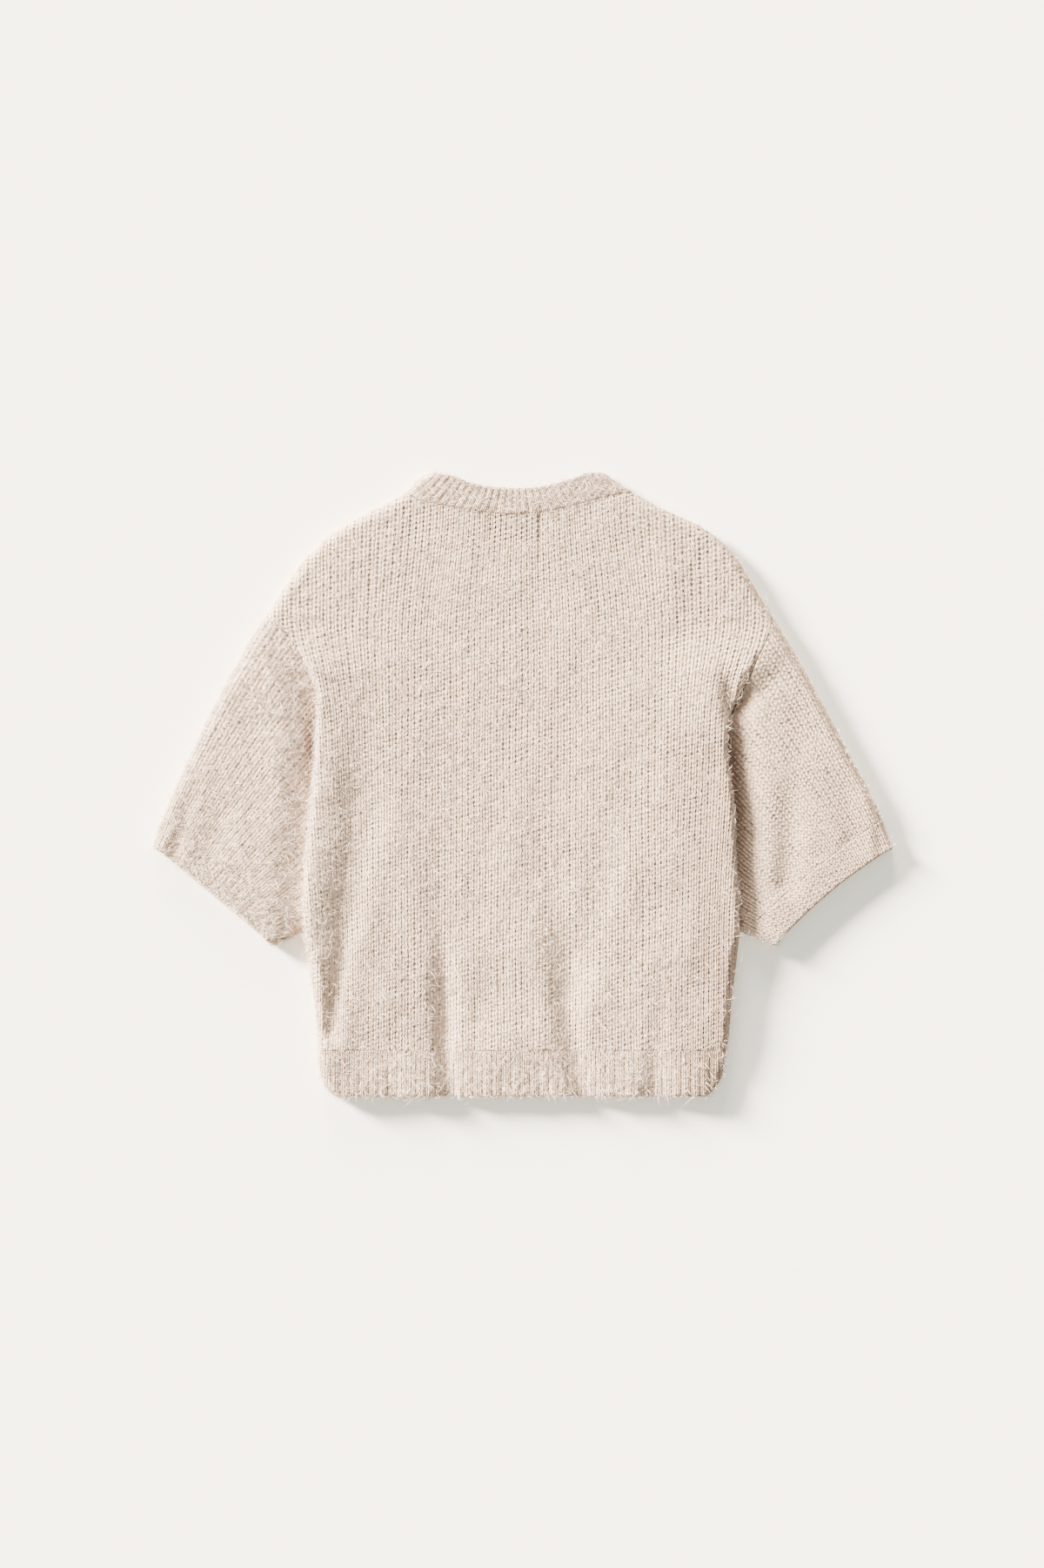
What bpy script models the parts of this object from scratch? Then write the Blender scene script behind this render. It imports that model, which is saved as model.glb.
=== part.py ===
"""A short-sleeve cardigan of brushed knit, laid flat with its back up.

X runs across the garment, the neck points to +Y and the floor is Z = 0. The origin is at the
middle of the outline, on the floor. Each panel is a wall of knit. Heights come from a few rules:
an edge that is folded is rounded off, the body's sides are folded under over the sleeves, and
the soft folds of a short table are pressed into the upper cloth.
"""
import math

import bmesh
import bpy
import numpy as np

MM = 0.001

# Sizes in millimetres
WALL = 3.0  # the knit's thickness
GAP = 0.3  # between two pieces
FOLD_LEVEL = 6.0  # height of the outermost line of a folded edge
TOP_ROLL = 9.0  # how far in from a folded edge the upper cloth is rounded
FLOOR_ROLL = 7.0  # the same for the cloth on the floor
SLEEVE_TOP = 13.0  # height of a sleeve
TUCK_TOP = 8.6  # height of a sleeve where the body lies over it
BODY_MID = 12.5  # height of the back along its middle
BODY_SIDE = 18.0  # height of the body's side folds, over the sleeves
HEM_SIDE = 14.0  # and at the hem
SIDE_AT = 190.0  # how far out the side folds are
HEM_SEAM = -244.0  # y of the hem rib's seam
HEM_END = -286.0
CUFF = 29.0  # length of the cuff ribs
NECKBAND = 24.0  # width of the neckband
BAND = 16.0  # half the width of the front bands
BUTTON_RADIUS = 9.0
BUTTON_THICK = 2.3
BAND_LEVEL = BUTTON_THICK + GAP  # underside of the buttonhole band
BAND_WALL = 2.8
UPPER_BAND_LEVEL = BAND_LEVEL + BAND_WALL + GAP
FRONT_NECK = 186.0  # y of the front neck seam at the bands
RIB = 1.1  # height of the ribs
HEM_RIBS = 40
CUFF_RIBS = 22
NECK_RIBS = 25

LEFT, RIGHT = -1, 1

# The garment's outline from the cuffs up to the neckband's corners: y, left x, right x
CONTOUR = [
    (-57, -340.0, 340.5), (-18, -326.0, 325.0), (30, -304.0, 299.5), (78, -280.5, 274.0),
    (126, -254.5, 247.5), (154, -237.0, 230.0), (186, -216.5, 211.0), (210, -199.0, 196.0),
    (234, -171.5, 170.5), (258, -127.5, 121.5), (270, -107.0, 100.5), (284.4, -92.8, 78.0),
    (288.4, -81.0, 72.8),
]
# The armhole seam, from the shoulder to the underarm: y, left x, right x
ARMHOLE = [
    (154, -237.0, 230.0), (138, -216.0, 226.0), (116, -203.5, 216.0), (98, -194.0, 208.0),
    (86, -187.5, 202.0), (66, -182.0, 193.0), (30, -173.0, 178.0), (-40, -158.0, 160.0),
    (-112, -145.0, 145.0),
]
# The body's side folds, where the cloth turns under: y, left x, right x
SIDE_FOLD = [
    (100, -194.0, 207.0), (86, -188.5, 201.0), (72, -188.5, 194.0), (56, -188.8, 188.0),
    (34, -189.6, 187.6), (0, -191.6, 192.0), (-56, -197.6, 196.0), (-100, -200.0, 197.6),
    (-130, -199.0, 198.6), (-166, -195.0, 196.0), (-202, -191.5, 191.5), (-239, -188.0, 188.0),
    (-268, -184.0, 183.0), (-282, -177.0, 174.0), (-286, -170.0, 168.0),
]
# How the side turns under as the armhole goes down: left y, right y, turn in degrees, share of the drop
TURN = [
    (154, 154, 4.0, 0.01), (142, 134, 10.0, 0.06), (130, 112, 30.0, 0.28), (118, 98, 52.0, 0.57),
    (106, 86, 75.0, 0.81), (95, 74, 110.0, 0.97), (86, 62, 150.0, 1.0), (76, 50, 180.0, 1.0),
]
# The seam between the neckband and the back: x, y
NECK_SEAM = [
    (-107, 270.0), (-97, 263.5), (-62, 255.6), (-33, 251.2), (-10, 249.2), (14, 250.6),
    (46, 257.0), (66, 262.0), (85, 267.0), (100.5, 270.0),
]
# The neckband's free edge: x, y
NECK_EDGE = [
    (-81, 288.4), (-65, 284.6), (-49, 279.0), (-28, 274.2), (-2, 273.2), (20, 275.6),
    (44, 282.2), (60, 287.4), (72.8, 288.4),
]
# Folds pressed into the upper cloth: from x, y to x, y, half width, depth at each end
BODY_FOLDS = [
    (-138, 90, -150, -30, 19, 0.5, 3.2),
    (-150, -30, -165, -130, 16, 3.2, 4.0),
    (-165, -130, -177, -225, 10, 4.0, 5.5),
    (-121, -235, -120, -290, 9, 0.5, 2.0),
    (-77, -110, -73, -200, 11, 0.5, 5.5),
    (-73, -200, -71, -290, 10, 5.5, 6.0),
    (31, -80, 39, -200, 15, 0.5, 3.5),
    (39, -200, 53, -290, 12, 3.5, 4.5),
    (134, -150, 118, -290, 13, 0.5, 4.5),
    (186, 116, 192, 66, 8, 0.5, 6.0),
    (174, -230, 178, -290, 7, 0.5, 2.5),
]
SLEEVE_FOLDS = [
    (-300, 10, -322, -62, 8, 0.5, 2.6),
    (-262, 30, -292, -70, 15, 0.3, 1.5),
    (251, 60, 243, -90, 13, 0.5, 3.0),
    (322, -20, 330, -56, 6, 0.5, 2.0),
    (290, 40, 303, -50, 12, 0.3, 1.4),
]


def ease(t):
    t = np.clip(t, 0.0, 1.0)
    return t * t * (3.0 - 2.0 * t)


def rounded(distance, radius):
    """0 at a folded edge, rising on a quarter circle to 1 at the radius."""
    t = 1.0 - np.clip(distance / radius, 0.0, 1.0)
    return np.sqrt(1.0 - t * t)


class Through:
    """A smooth curve through a table's points that never overshoots them."""

    def __init__(self, keys, values):
        order = np.argsort(keys)
        self.key = np.array(keys, float)[order]
        self.value = np.array(values, float)[order]
        rise = np.diff(self.value) / np.diff(self.key)
        self.slope = np.zeros(len(self.key))
        self.slope[0] = rise[0]
        self.slope[-1] = rise[-1]
        for i in range(1, len(rise)):
            if rise[i - 1] * rise[i] > 0:
                self.slope[i] = 2 * rise[i - 1] * rise[i] / (rise[i - 1] + rise[i])

    def __call__(self, at):
        at = np.clip(at, self.key[0], self.key[-1])
        i = np.clip(np.searchsorted(self.key, at, "right") - 1, 0, len(self.key) - 2)
        long = self.key[i + 1] - self.key[i]
        t = (at - self.key[i]) / long
        return (
            self.value[i] * (1 + 2 * t) * (1 - t) ** 2
            + self.value[i + 1] * t * t * (3 - 2 * t)
            + self.slope[i] * long * t * (1 - t) ** 2
            - self.slope[i + 1] * long * t * t * (1 - t)
        )

    def rate(self, at):
        return (self(at + 0.5) - self(at - 0.5)) / 1.0


def column(table, key, value):
    return Through([row[key] for row in table], [row[value] for row in table])


contour = {LEFT: column(CONTOUR, 0, 1), RIGHT: column(CONTOUR, 0, 2)}
armhole = {LEFT: column(ARMHOLE, 0, 1), RIGHT: column(ARMHOLE, 0, 2)}
side_fold = {LEFT: column(SIDE_FOLD, 0, 1), RIGHT: column(SIDE_FOLD, 0, 2)}
turn = {LEFT: column(TURN, 0, 2), RIGHT: column(TURN, 1, 2)}
drop_share = {LEFT: column(TURN, 0, 3), RIGHT: column(TURN, 1, 3)}
neck_seam = column(NECK_SEAM, 0, 1)
neck_edge = column(NECK_EDGE, 0, 1)
CONTOUR_ROWS = [y for y, _, _ in CONTOUR]
contour_y = {hand: Through([contour[hand](y) * hand for y in CONTOUR_ROWS], CONTOUR_ROWS)
             for hand in (LEFT, RIGHT)}

SHOULDER_Y = ARMHOLE[0][0]
UNDERARM = (145.0, -112.0)
CUFF_INNER = (231.5, -147.0)
CUFF_OUTER_Y = -57.0
UNDERARM_SLOPE = (UNDERARM[1] - CUFF_INNER[1]) / (CUFF_INNER[0] - UNDERARM[0])
SIDE_SEAM_END = 157.0  # how far out the side seam is at the hem


def contour_edge(x, y):
    """The distance in from the outline's folded edge, and the direction in."""
    x, y = np.broadcast_arrays(np.asarray(x, float), np.asarray(y, float))
    best = np.full(x.shape, 1e9)
    way_x = np.zeros(x.shape)
    way_y = np.zeros(x.shape)
    for hand in (LEFT, RIGHT):
        rate = contour[hand].rate(np.clip(y, -56.0, 287.0))
        long = np.sqrt(1.0 + rate * rate)
        away = -hand * (x - contour[hand](y)) / long
        nearer = away < best
        best = np.where(nearer, away, best)
        way_x = np.where(nearer, -hand / long, way_x)
        way_y = np.where(nearer, hand * rate / long, way_y)
    return np.maximum(best, 0.0), way_x, way_y


def underarm_y(x, hand):
    return UNDERARM[1] - (hand * x - UNDERARM[0]) * UNDERARM_SLOPE


def folds(x, y, table):
    """How deep the folds of a table are at a point."""
    deep = 0.0
    for x0, y0, x1, y1, half, deep0, deep1 in table:
        long = math.hypot(x1 - x0, y1 - y0)
        along = ((x - x0) * (x1 - x0) + (y - y0) * (y1 - y0)) / long
        across = ((x - x0) * (y1 - y0) - (y - y0) * (x1 - x0)) / long
        share = np.clip(along / long, 0.0, 1.0)
        beyond = np.maximum(np.maximum(-along, along - long), 0.0)
        size = deep0 + (deep1 - deep0) * ease(share)
        deep = np.maximum(deep, size * np.exp(-((across / half) ** 2) - (beyond / 14.0) ** 2))
    return deep


def body_height(x, y):
    """Height of the back's outer face, inside its side folds."""
    over_sleeve = ease((150.0 - y) / 50.0)
    to_hem = ease((-150.0 - y) / 110.0)
    side = SLEEVE_TOP + (BODY_SIDE - SLEEVE_TOP) * over_sleeve - (BODY_SIDE - HEM_SIDE) * to_hem
    out = np.clip(np.abs(x) / SIDE_AT, 0.0, 1.0) ** 2.6
    return BODY_MID + (side - BODY_MID) * out - folds(x, y, BODY_FOLDS)


def under_body(x, y):
    """Height of the underside of the cloth that is tucked under at the body's sides."""
    hand = np.where(x < 0, LEFT, RIGHT)
    past = y - (UNDERARM[1] - (hand * x - UNDERARM[0]) * UNDERARM_SLOPE)
    return (TUCK_TOP + GAP) * ease((past + 21.0) / 16.0)


def side_seam(y, hand):
    """x of the seam that the tucked cloth runs to: the armhole, and below it the side seam."""
    below = UNDERARM[0] + (SIDE_SEAM_END - UNDERARM[0]) * np.clip(
        (UNDERARM[1] - y) / (UNDERARM[1] - HEM_END), 0.0, 1.0)
    return np.where(y >= UNDERARM[1], armhole[hand](y), hand * below)


def seam_room(y, hand):
    """How far in x a body panel stops short of the armhole seam, which may slant."""
    return 1.4 * GAP * math.hypot(1.0, float(armhole[hand].rate(min(y, SHOULDER_Y - 1.0))))


def side(y, hand):
    """The turn at a body's side: where it starts, its radius, its angle, and how far it is tucked."""
    angle = math.radians(float(turn[hand](y)))
    seam = abs(float(side_seam(y, hand)))
    edge = abs(float(side_fold[hand](y))) if angle > math.pi / 2 else seam - seam_room(y, hand)
    low = float(under_body(hand * (edge - 6.0), y))
    start = edge - 4.0
    for _ in range(12):
        height = float(body_height(hand * start, y))
        drop = (height - low) * float(drop_share[hand](y))
        radius = drop / (1.0 - math.cos(angle))
        reach = radius if angle > math.pi / 2 else radius * math.sin(angle)
        start = 0.5 * start + 0.5 * (edge - reach)
    tuck = max(start - seam, 0.0) if angle > math.radians(179.0) else 0.0
    return {"start": start, "radius": radius, "angle": angle, "tuck": tuck, "height": height,
            "span": start + radius * angle + tuck}


def seam_height(y, hand):
    """Height of the cloth at the armhole seam, where it shows."""
    fit = side(float(y), hand)
    edge = fit["height"] - fit["radius"] * (1.0 - math.cos(fit["angle"]))
    return max(TUCK_TOP, edge - GAP * float(ease((fit["angle"] - 1.0) / 0.5)))


SEAM_STEPS = np.linspace(SHOULDER_Y, 40.0, 30)
seam_heights = {hand: Through(SEAM_STEPS, [seam_height(y, hand) for y in SEAM_STEPS])
                for hand in (LEFT, RIGHT)}


def shoulder_rolled(x, y, z, depth):
    """A point of the upper cloth, brought down where it is near the outline's folded edge."""
    edge, way_x, way_y = contour_edge(x, y)
    lean = float(depth * (1.0 - np.clip(edge / TOP_ROLL, 0.0, 1.0)))
    z = FOLD_LEVEL + (z - FOLD_LEVEL) * float(rounded(edge, TOP_ROLL))
    return x + float(way_x) * lean, y + float(way_y) * lean, z


def back_point(across, y, depth, lift=0.0):
    """A point of the back at a share of its width, from -1 to 1. Depth 0 is its outer face."""
    hand = LEFT if across < 0 else RIGHT
    fit = side(y, hand)
    out = abs(across) * fit["span"]
    if out <= fit["start"]:
        return shoulder_rolled(hand * out, y, float(body_height(hand * out, y)) + lift - depth, depth)
    angle = min((out - fit["start"]) / fit["radius"], fit["angle"])
    radius = fit["radius"] - depth + lift * max(math.cos(angle), 0.0)
    x = fit["start"] + radius * math.sin(angle)
    z = fit["height"] - fit["radius"] + radius * math.cos(angle)
    rest = out - fit["start"] - fit["radius"] * fit["angle"]
    if rest > 1e-6:
        x = fit["start"] - rest
        z = float(under_body(hand * x, y)) + depth
    if fit["angle"] < math.pi / 2:
        return shoulder_rolled(hand * x, y, z, depth)
    return hand * x, y, z


def sleeve_height(x, y, hand):
    """Height of a sleeve's upper face, which dips where the body lies over it."""
    line = np.where(y > 86.0, armhole[hand](y), side_fold[hand](y))
    away = hand * (x - line)
    low = np.where(y > 60.0, seam_heights[hand](y), TUCK_TOP)
    rise = ease((away - 4.0) / 34.0)
    tall = SLEEVE_TOP - folds(x, y, SLEEVE_FOLDS) * ease(away / 20.0)
    return low + (tall - low) * rise


def sleeve_plan(share, across, hand, peek):
    """A point of a sleeve in plan: share 1 at the cuff's edge, across 0 at its outer fold."""
    seam_y = SHOULDER_Y + (UNDERARM[1] - SHOULDER_Y) * across
    seam_x = float(armhole[hand](seam_y))
    outer_x = float(contour[hand](CUFF_OUTER_Y))
    cuff_x = outer_x + (hand * CUFF_INNER[0] - outer_x) * across
    cuff_y = CUFF_OUTER_Y + (CUFF_INNER[1] - CUFF_OUTER_Y) * across
    x = seam_x + (cuff_x - seam_x) * share
    y = seam_y + (cuff_y - seam_y) * share
    edge_y = SHOULDER_Y + (CUFF_OUTER_Y - SHOULDER_Y) * share
    straight = float(contour[hand](SHOULDER_Y)) + (outer_x - float(contour[hand](SHOULDER_Y))) * share
    x += (float(contour[hand](edge_y)) - straight) * (1.0 - across) ** 2
    bow = peek * math.sin(math.pi * across) * share ** 4
    return x - hand * bow * 0.35, y + bow


def sleeve_long(across, hand):
    """Length of a sleeve from the armhole to the cuff's edge."""
    x0, y0 = sleeve_plan(0.0, across, hand, 0.0)
    x1, y1 = sleeve_plan(1.0, across, hand, 0.0)
    return math.hypot(x1 - x0, y1 - y0)


def sleeve_point(share, across, hand, upper, depth, peek, lift=0.0):
    """A point of a sleeve's wall."""
    x, y = sleeve_plan(share, across, hand, peek)
    radius = TOP_ROLL if upper else FLOOR_ROLL
    edge, way_x, way_y = contour_edge(x, y)
    long = math.hypot(1.0, UNDERARM_SLOPE)
    under = max((y - float(underarm_y(x, hand))) / long, 0.0)
    if across > 0.999:
        under = 0.0
    if across < 0.001:
        edge = 0.0
    lean = depth * (1.0 - min(float(edge) / radius, 1.0))
    lean_under = depth * (1.0 - min(under / radius, 1.0))
    round_off = float(rounded(edge, radius) * rounded(under, radius))
    tall = float(sleeve_height(x, y, hand)) - depth + lift if upper else depth
    z = FOLD_LEVEL + (tall - FOLD_LEVEL) * round_off
    x += float(way_x) * lean + hand * UNDERARM_SLOPE / long * lean_under
    y += float(way_y) * lean + lean_under / long
    return x, y, z


def front_level(x):
    """How high the fronts are lifted beside the bands, which lie on the buttons."""
    level = np.where(x < 0, UPPER_BAND_LEVEL, BAND_LEVEL)
    return level * ease((52.0 - np.abs(x)) / (52.0 - BAND))


def front_point(x, y, depth):
    """A point of a front's wall. Depth 0 is its outer face, which lies on the floor."""
    edge, way_x, way_y = contour_edge(x, y)
    lean = float(depth * (1.0 - np.clip(edge / FLOOR_ROLL, 0.0, 1.0)))
    level = float(front_level(x)) + depth
    z = FOLD_LEVEL - GAP + (level - FOLD_LEVEL + GAP) * float(rounded(edge, FLOOR_ROLL))
    return x + float(way_x) * lean, y + float(way_y) * lean, z


def material(name, colour, roughness):
    made = bpy.data.materials.new(name)
    made.use_nodes = True
    shader = made.node_tree.nodes["Principled BSDF"]
    shader.inputs["Base Color"].default_value = (*colour, 1.0)
    shader.inputs["Roughness"].default_value = roughness
    shader.inputs["Metallic"].default_value = 0.0
    return made


KNIT_COLOUR = (0.69, 0.61, 0.54)
BUTTON_COLOUR = (0.62, 0.55, 0.46)
LABEL_COLOUR = (0.82, 0.80, 0.76)


def finish(name, bm, colour, roughness):
    bmesh.ops.recalc_face_normals(bm, faces=bm.faces[:])
    if bm.calc_volume(signed=True) < 0:
        bmesh.ops.reverse_faces(bm, faces=bm.faces[:])
    mesh = bpy.data.meshes.new(name)
    bm.to_mesh(mesh)
    bm.free()
    mesh.materials.append(material(name, colour, roughness))
    piece = bpy.data.objects.new(name, mesh)
    bpy.context.collection.objects.link(piece)
    return piece


def wall(name, outer, inner, ring=False, colour=KNIT_COLOUR, roughness=0.95):
    """A closed wall between two grids of points, rows by columns. A ring's columns close on themselves."""
    bm = bmesh.new()
    grids = []
    for grid in (outer, inner):
        grids.append([[bm.verts.new((x * MM, y * MM, z * MM)) for x, y, z in row] for row in grid])
    rows = len(outer)
    columns = len(outer[0])
    spans = columns if ring else columns - 1
    for grid in grids:
        for r in range(rows - 1):
            for c in range(spans):
                d = (c + 1) % columns
                bm.faces.new((grid[r][c], grid[r][d], grid[r + 1][d], grid[r + 1][c]))
    near, far = grids
    for r in (0, rows - 1):
        for c in range(spans):
            d = (c + 1) % columns
            bm.faces.new((near[r][c], near[r][d], far[r][d], far[r][c]))
    if not ring:
        for c in (0, columns - 1):
            for r in range(rows - 1):
                bm.faces.new((near[r][c], near[r + 1][c], far[r + 1][c], far[r][c]))
    return finish(name, bm, colour, roughness)


def spaced(ends, step):
    """Values from the first end to the last through all of them, at most a step apart."""
    values = [ends[0]]
    for a, b in zip(ends[:-1], ends[1:]):
        n = max(1, math.ceil(abs(b - a) / step))
        values += [a + (b - a) * (i + 1) / n for i in range(n)]
    return values


for old in list(bpy.data.objects):
    bpy.data.objects.remove(old)

# ---- the back, from the hem's seam to the shoulders and the neckband's seam
FAN_Y = 62.0  # above this line the rows fan out to the shoulders
NECK_EASE = 0.9  # extra room beside the neckband where the seam runs over the shoulder
TOP_LEFT = contour[LEFT](SHOULDER_Y)
TOP_RIGHT = contour[RIGHT](SHOULDER_Y)


def top_of_back(x):
    """y of the back's upper edge: the shoulders' fold, and the neckband's seam less a gap."""
    if NECK_SEAM[0][0] < x < NECK_SEAM[-1][0]:
        return float(neck_seam(x)) - GAP - NECK_EASE * (abs(x) / NECK_SEAM[-1][0]) ** 4
    hand = LEFT if x < 0 else RIGHT
    return float(contour_y[hand](abs(x)))


def back_shares():
    """Shares of the back's width at which its columns stand: close at the folds, wider between."""
    half = [i / 15 * 0.78 for i in range(16)]
    half += [0.82, 0.85, 0.876, 0.9, 0.925, 0.95, 1.0]
    return [-a for a in reversed(half)] + half[1:]


def back_grid(depth):
    grid = []
    low_rows = spaced([HEM_SEAM + GAP, -164, -153, -142, -131, -120, -109, -96, FAN_Y], 27.0)
    shares = back_shares()
    for y in low_rows[:-1]:
        grid.append([back_point(a, y, depth) for a in shares])
    rises = [0.0, 0.13, 0.25, 0.37, 0.49, 0.61, 0.73, 0.85, 0.94, 0.985, 1.0]
    for rise in rises:
        row = []
        for a in shares:
            x = a * (abs(TOP_LEFT) if a < 0 else abs(TOP_RIGHT))
            y = FAN_Y + (top_of_back(x) - FAN_Y) * rise
            row.append(back_point(a, min(y, 288.0), depth))
        grid.append(row)
    return grid


wall("back", back_grid(0.0), back_grid(WALL))


# ---- the hem of the back: ribs over a plain inside
def hem_grid(depth):
    grid = []
    rib_share = 0.84  # the share of the width that the ribs cover, as far as the side folds
    steps = HEM_RIBS * 2
    for y in (HEM_SEAM, HEM_SEAM - 3.0, HEM_END + 3.0, HEM_END):
        row = []
        sides = [1.0, 0.965, 0.935, 0.905, 0.872]
        shares = [-a for a in sides] + [rib_share * (2 * i / steps - 1) for i in range(steps + 1)]
        shares += list(reversed(sides))
        for n, a in enumerate(shares):
            wave = (n - len(sides)) % 2
            ribbed = depth == 0.0 and abs(a) <= rib_share and HEM_END < y < HEM_SEAM
            row.append(back_point(a, y, depth, RIB * wave if ribbed else 0.0))
        grid.append(row)
    return grid


wall("hem_back", hem_grid(0.0), hem_grid(WALL))


# ---- the sleeves and their cuffs: flattened tubes
PEEK = {LEFT: (5.5, 0.0), RIGHT: (5.0, 5.0)}  # how far the cuff's upper and lower edges bow in


def sleeve_ring(hand, depth, near, far, t, crossings, returning, ribs=0):
    """One ring of a sleeve, from its outer fold over the top to the underarm and back along the floor."""
    ring = []
    upper_peek, lower_peek = PEEK[hand]
    for upper, places, peek in ((True, crossings, upper_peek), (False, returning, lower_peek)):
        for across in places:
            long = sleeve_long(across, hand)
            from_cuff = near + (min(far, long) - near) * t
            share = 1.0 - from_cuff / long
            lift = 0.0
            if ribs and upper and depth == 0.0 and 0.0 < t < 1.0:
                lift = RIB * (0.5 - 0.5 * math.cos(2 * math.pi * across * ribs))
            ring.append(sleeve_point(share, across, hand, upper, depth, peek, lift))
    return ring


def seam_crossings():
    """Places across the armhole that are close together where the seam shows."""
    long = SHOULDER_Y - UNDERARM[1]
    places = [d / long for d in (0.0, 2.0, 5.0, 9.5)]
    rows = (140, 134, 127, 119, 109, 98, 86, 70, 50, 20, -15, -50, -80)
    places += [(SHOULDER_Y - y) / long for y in rows]
    places += [(long - d) / long for d in (19.0, 10.0, 4.5, 1.5)]
    return places + [1.0]


for hand, name in ((LEFT, "left"), (RIGHT, "right")):
    places = seam_crossings()
    back = list(reversed(places))[1:-1]
    rows = [0.0, 0.13, 0.28, 0.43, 0.58, 0.72, 0.84, 0.93, 1.0]
    outer = [sleeve_ring(hand, 0.0, CUFF + GAP, 999.0, t, places, back) for t in rows]
    inner = [sleeve_ring(hand, WALL, CUFF + GAP, 999.0, t, places, back) for t in rows]
    wall("sleeve_" + name, outer, inner, ring=True)
    places = [0.0] + [i / (CUFF_RIBS * 2) for i in range(1, CUFF_RIBS * 2)] + [1.0]
    back = [0.985, 0.955, 0.75, 0.5, 0.25, 0.045, 0.015]
    rows = [0.0, 0.1, 0.9, 1.0]
    outer = [sleeve_ring(hand, 0.0, 0.0, CUFF, t, places, back, CUFF_RIBS) for t in rows]
    inner = [sleeve_ring(hand, WALL, 0.0, CUFF, t, places, back) for t in rows]
    wall("cuff_" + name, outer, inner, ring=True)


# ---- the neckband's back: ribs across a strip above the neck seam
def neckband_grid(depth):
    steps = NECK_RIBS * 2
    grid = []
    for up in (0.0, 0.12, 0.88, 1.0):
        row = []
        for n in range(steps + 1):
            s = n / steps
            seam_x = NECK_SEAM[0][0] + (NECK_SEAM[-1][0] - NECK_SEAM[0][0]) * s
            edge_x = NECK_EDGE[0][0] + (NECK_EDGE[-1][0] - NECK_EDGE[0][0]) * s
            x = seam_x + (edge_x - seam_x) * up
            y = float(neck_seam(seam_x)) * (1 - up) + float(neck_edge(edge_x)) * up
            if n in (0, steps):
                x = float(contour[LEFT if n == 0 else RIGHT](min(y, 288.3)))
            height = float(body_height(x, y))
            if depth == 0.0 and 0 < up < 1:
                height += RIB * (n % 2)
            row.append(shoulder_rolled(x, y, height - depth, depth))
        grid.append(row)
    return grid


wall("neckband_back", neckband_grid(0.0), neckband_grid(WALL))


# ---- the fronts, on the floor
def front_neck(angle, out, hand):
    """The front neck seam at an angle from the band, moved out into the neckband."""
    wide = abs(NECK_SEAM[0][0] if hand == LEFT else NECK_SEAM[-1][0]) - BAND - GAP
    deep = NECK_SEAM[0][1] - FRONT_NECK
    share = math.sin(angle) ** 2
    x = BAND + GAP + (wide - out * (1.0 if wide > 86 else 0.93)) * math.sin(angle)
    y = NECK_SEAM[0][1] - (deep - out) * math.cos(angle) + 17.5 * out / NECKBAND * share
    return hand * x, y


def front_top(share, hand):
    """The upper edge of a front: the neckband's seam, then the shoulder's fold to the armhole."""
    neck_part = 0.45
    if share <= neck_part:
        turned = share / neck_part
        return front_neck(turned * math.pi / 2, -GAP * (1.0 + 2.0 * turned), hand)
    t = (share - neck_part) / (1.0 - neck_part)
    start = abs(NECK_SEAM[0][0] if hand == LEFT else NECK_SEAM[-1][0])
    end = abs(float(contour[hand](SHOULDER_Y)))
    x = start + (end - start) * t
    return hand * x, float(contour_y[hand](x))


NECK_STEPS = 8


def front_grid(hand, depth):
    shares = [0.45 * i / NECK_STEPS for i in range(NECK_STEPS)] + [0.45, 0.59, 0.73, 0.87, 1.0]
    grid = []
    for y in spaced([HEM_SEAM + GAP, UNDERARM[1], 0.0], 45.0)[:-1]:
        seam = abs(float(side_seam(y, hand))) - GAP
        row = []
        for s in shares:
            x = hand * (BAND + GAP + (seam - BAND - GAP) * s)
            row.append(front_point(x, y, depth))
        grid.append(row)
    for rise in (0.0, 0.14, 0.28, 0.42, 0.54, 0.65, 0.74, 0.81, 0.87, 0.92, 0.965, 1.0):
        row = []
        for s in shares:
            top_x, top_y = front_top(s, hand)
            y = top_y * rise
            seam = abs(float(armhole[hand](min(y, SHOULDER_Y)))) - 1.5 * seam_room(y, hand)
            low_x = hand * (BAND + GAP + (seam - BAND - GAP) * s)
            x = low_x + (top_x - low_x) * rise ** 1.5
            if s == 1.0:
                x = hand * seam
            row.append(front_point(x, y, depth))
        grid.append(row)
    return grid


def front_neckband_grid(hand, depth):
    grid = []
    for out in (0.0, NECKBAND / 2, NECKBAND):
        row = []
        for n in range(NECK_STEPS + 1):
            x, y = front_neck(n / NECK_STEPS * math.pi / 2, out, hand)
            if n == NECK_STEPS:
                x = float(contour[hand](min(y, 288.3)))
            row.append(front_point(x, y, depth))
        grid.append(row)
    return grid


def front_hem_grid(hand, depth):
    grid = []
    for y in (HEM_SEAM, (HEM_SEAM + HEM_END) / 2, HEM_END):
        seam = abs(float(side_seam(y, hand))) - GAP
        grid.append([front_point(hand * (BAND + GAP + (seam - BAND - GAP) * s), y, depth)
                     for s in (0.0, 0.08, 0.16, 0.24, 0.32, 0.6, 1.0)])
    return grid


for hand, name in ((LEFT, "left"), (RIGHT, "right")):
    wall("front_" + name, front_grid(hand, 0.0), front_grid(hand, WALL))
    wall("neckband_" + name, front_neckband_grid(hand, 0.0), front_neckband_grid(hand, WALL))
    wall("hem_" + name, front_hem_grid(hand, 0.0), front_hem_grid(hand, WALL))


# ---- the bands down the front, and the buttons under them
BAND_TOP = FRONT_NECK + NECKBAND


def band_grid(level):
    xs = [-BAND, 0.0, BAND]
    return [[(x, y, level) for x in xs] for y in spaced([HEM_END, BAND_TOP], 60.0)]


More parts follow.
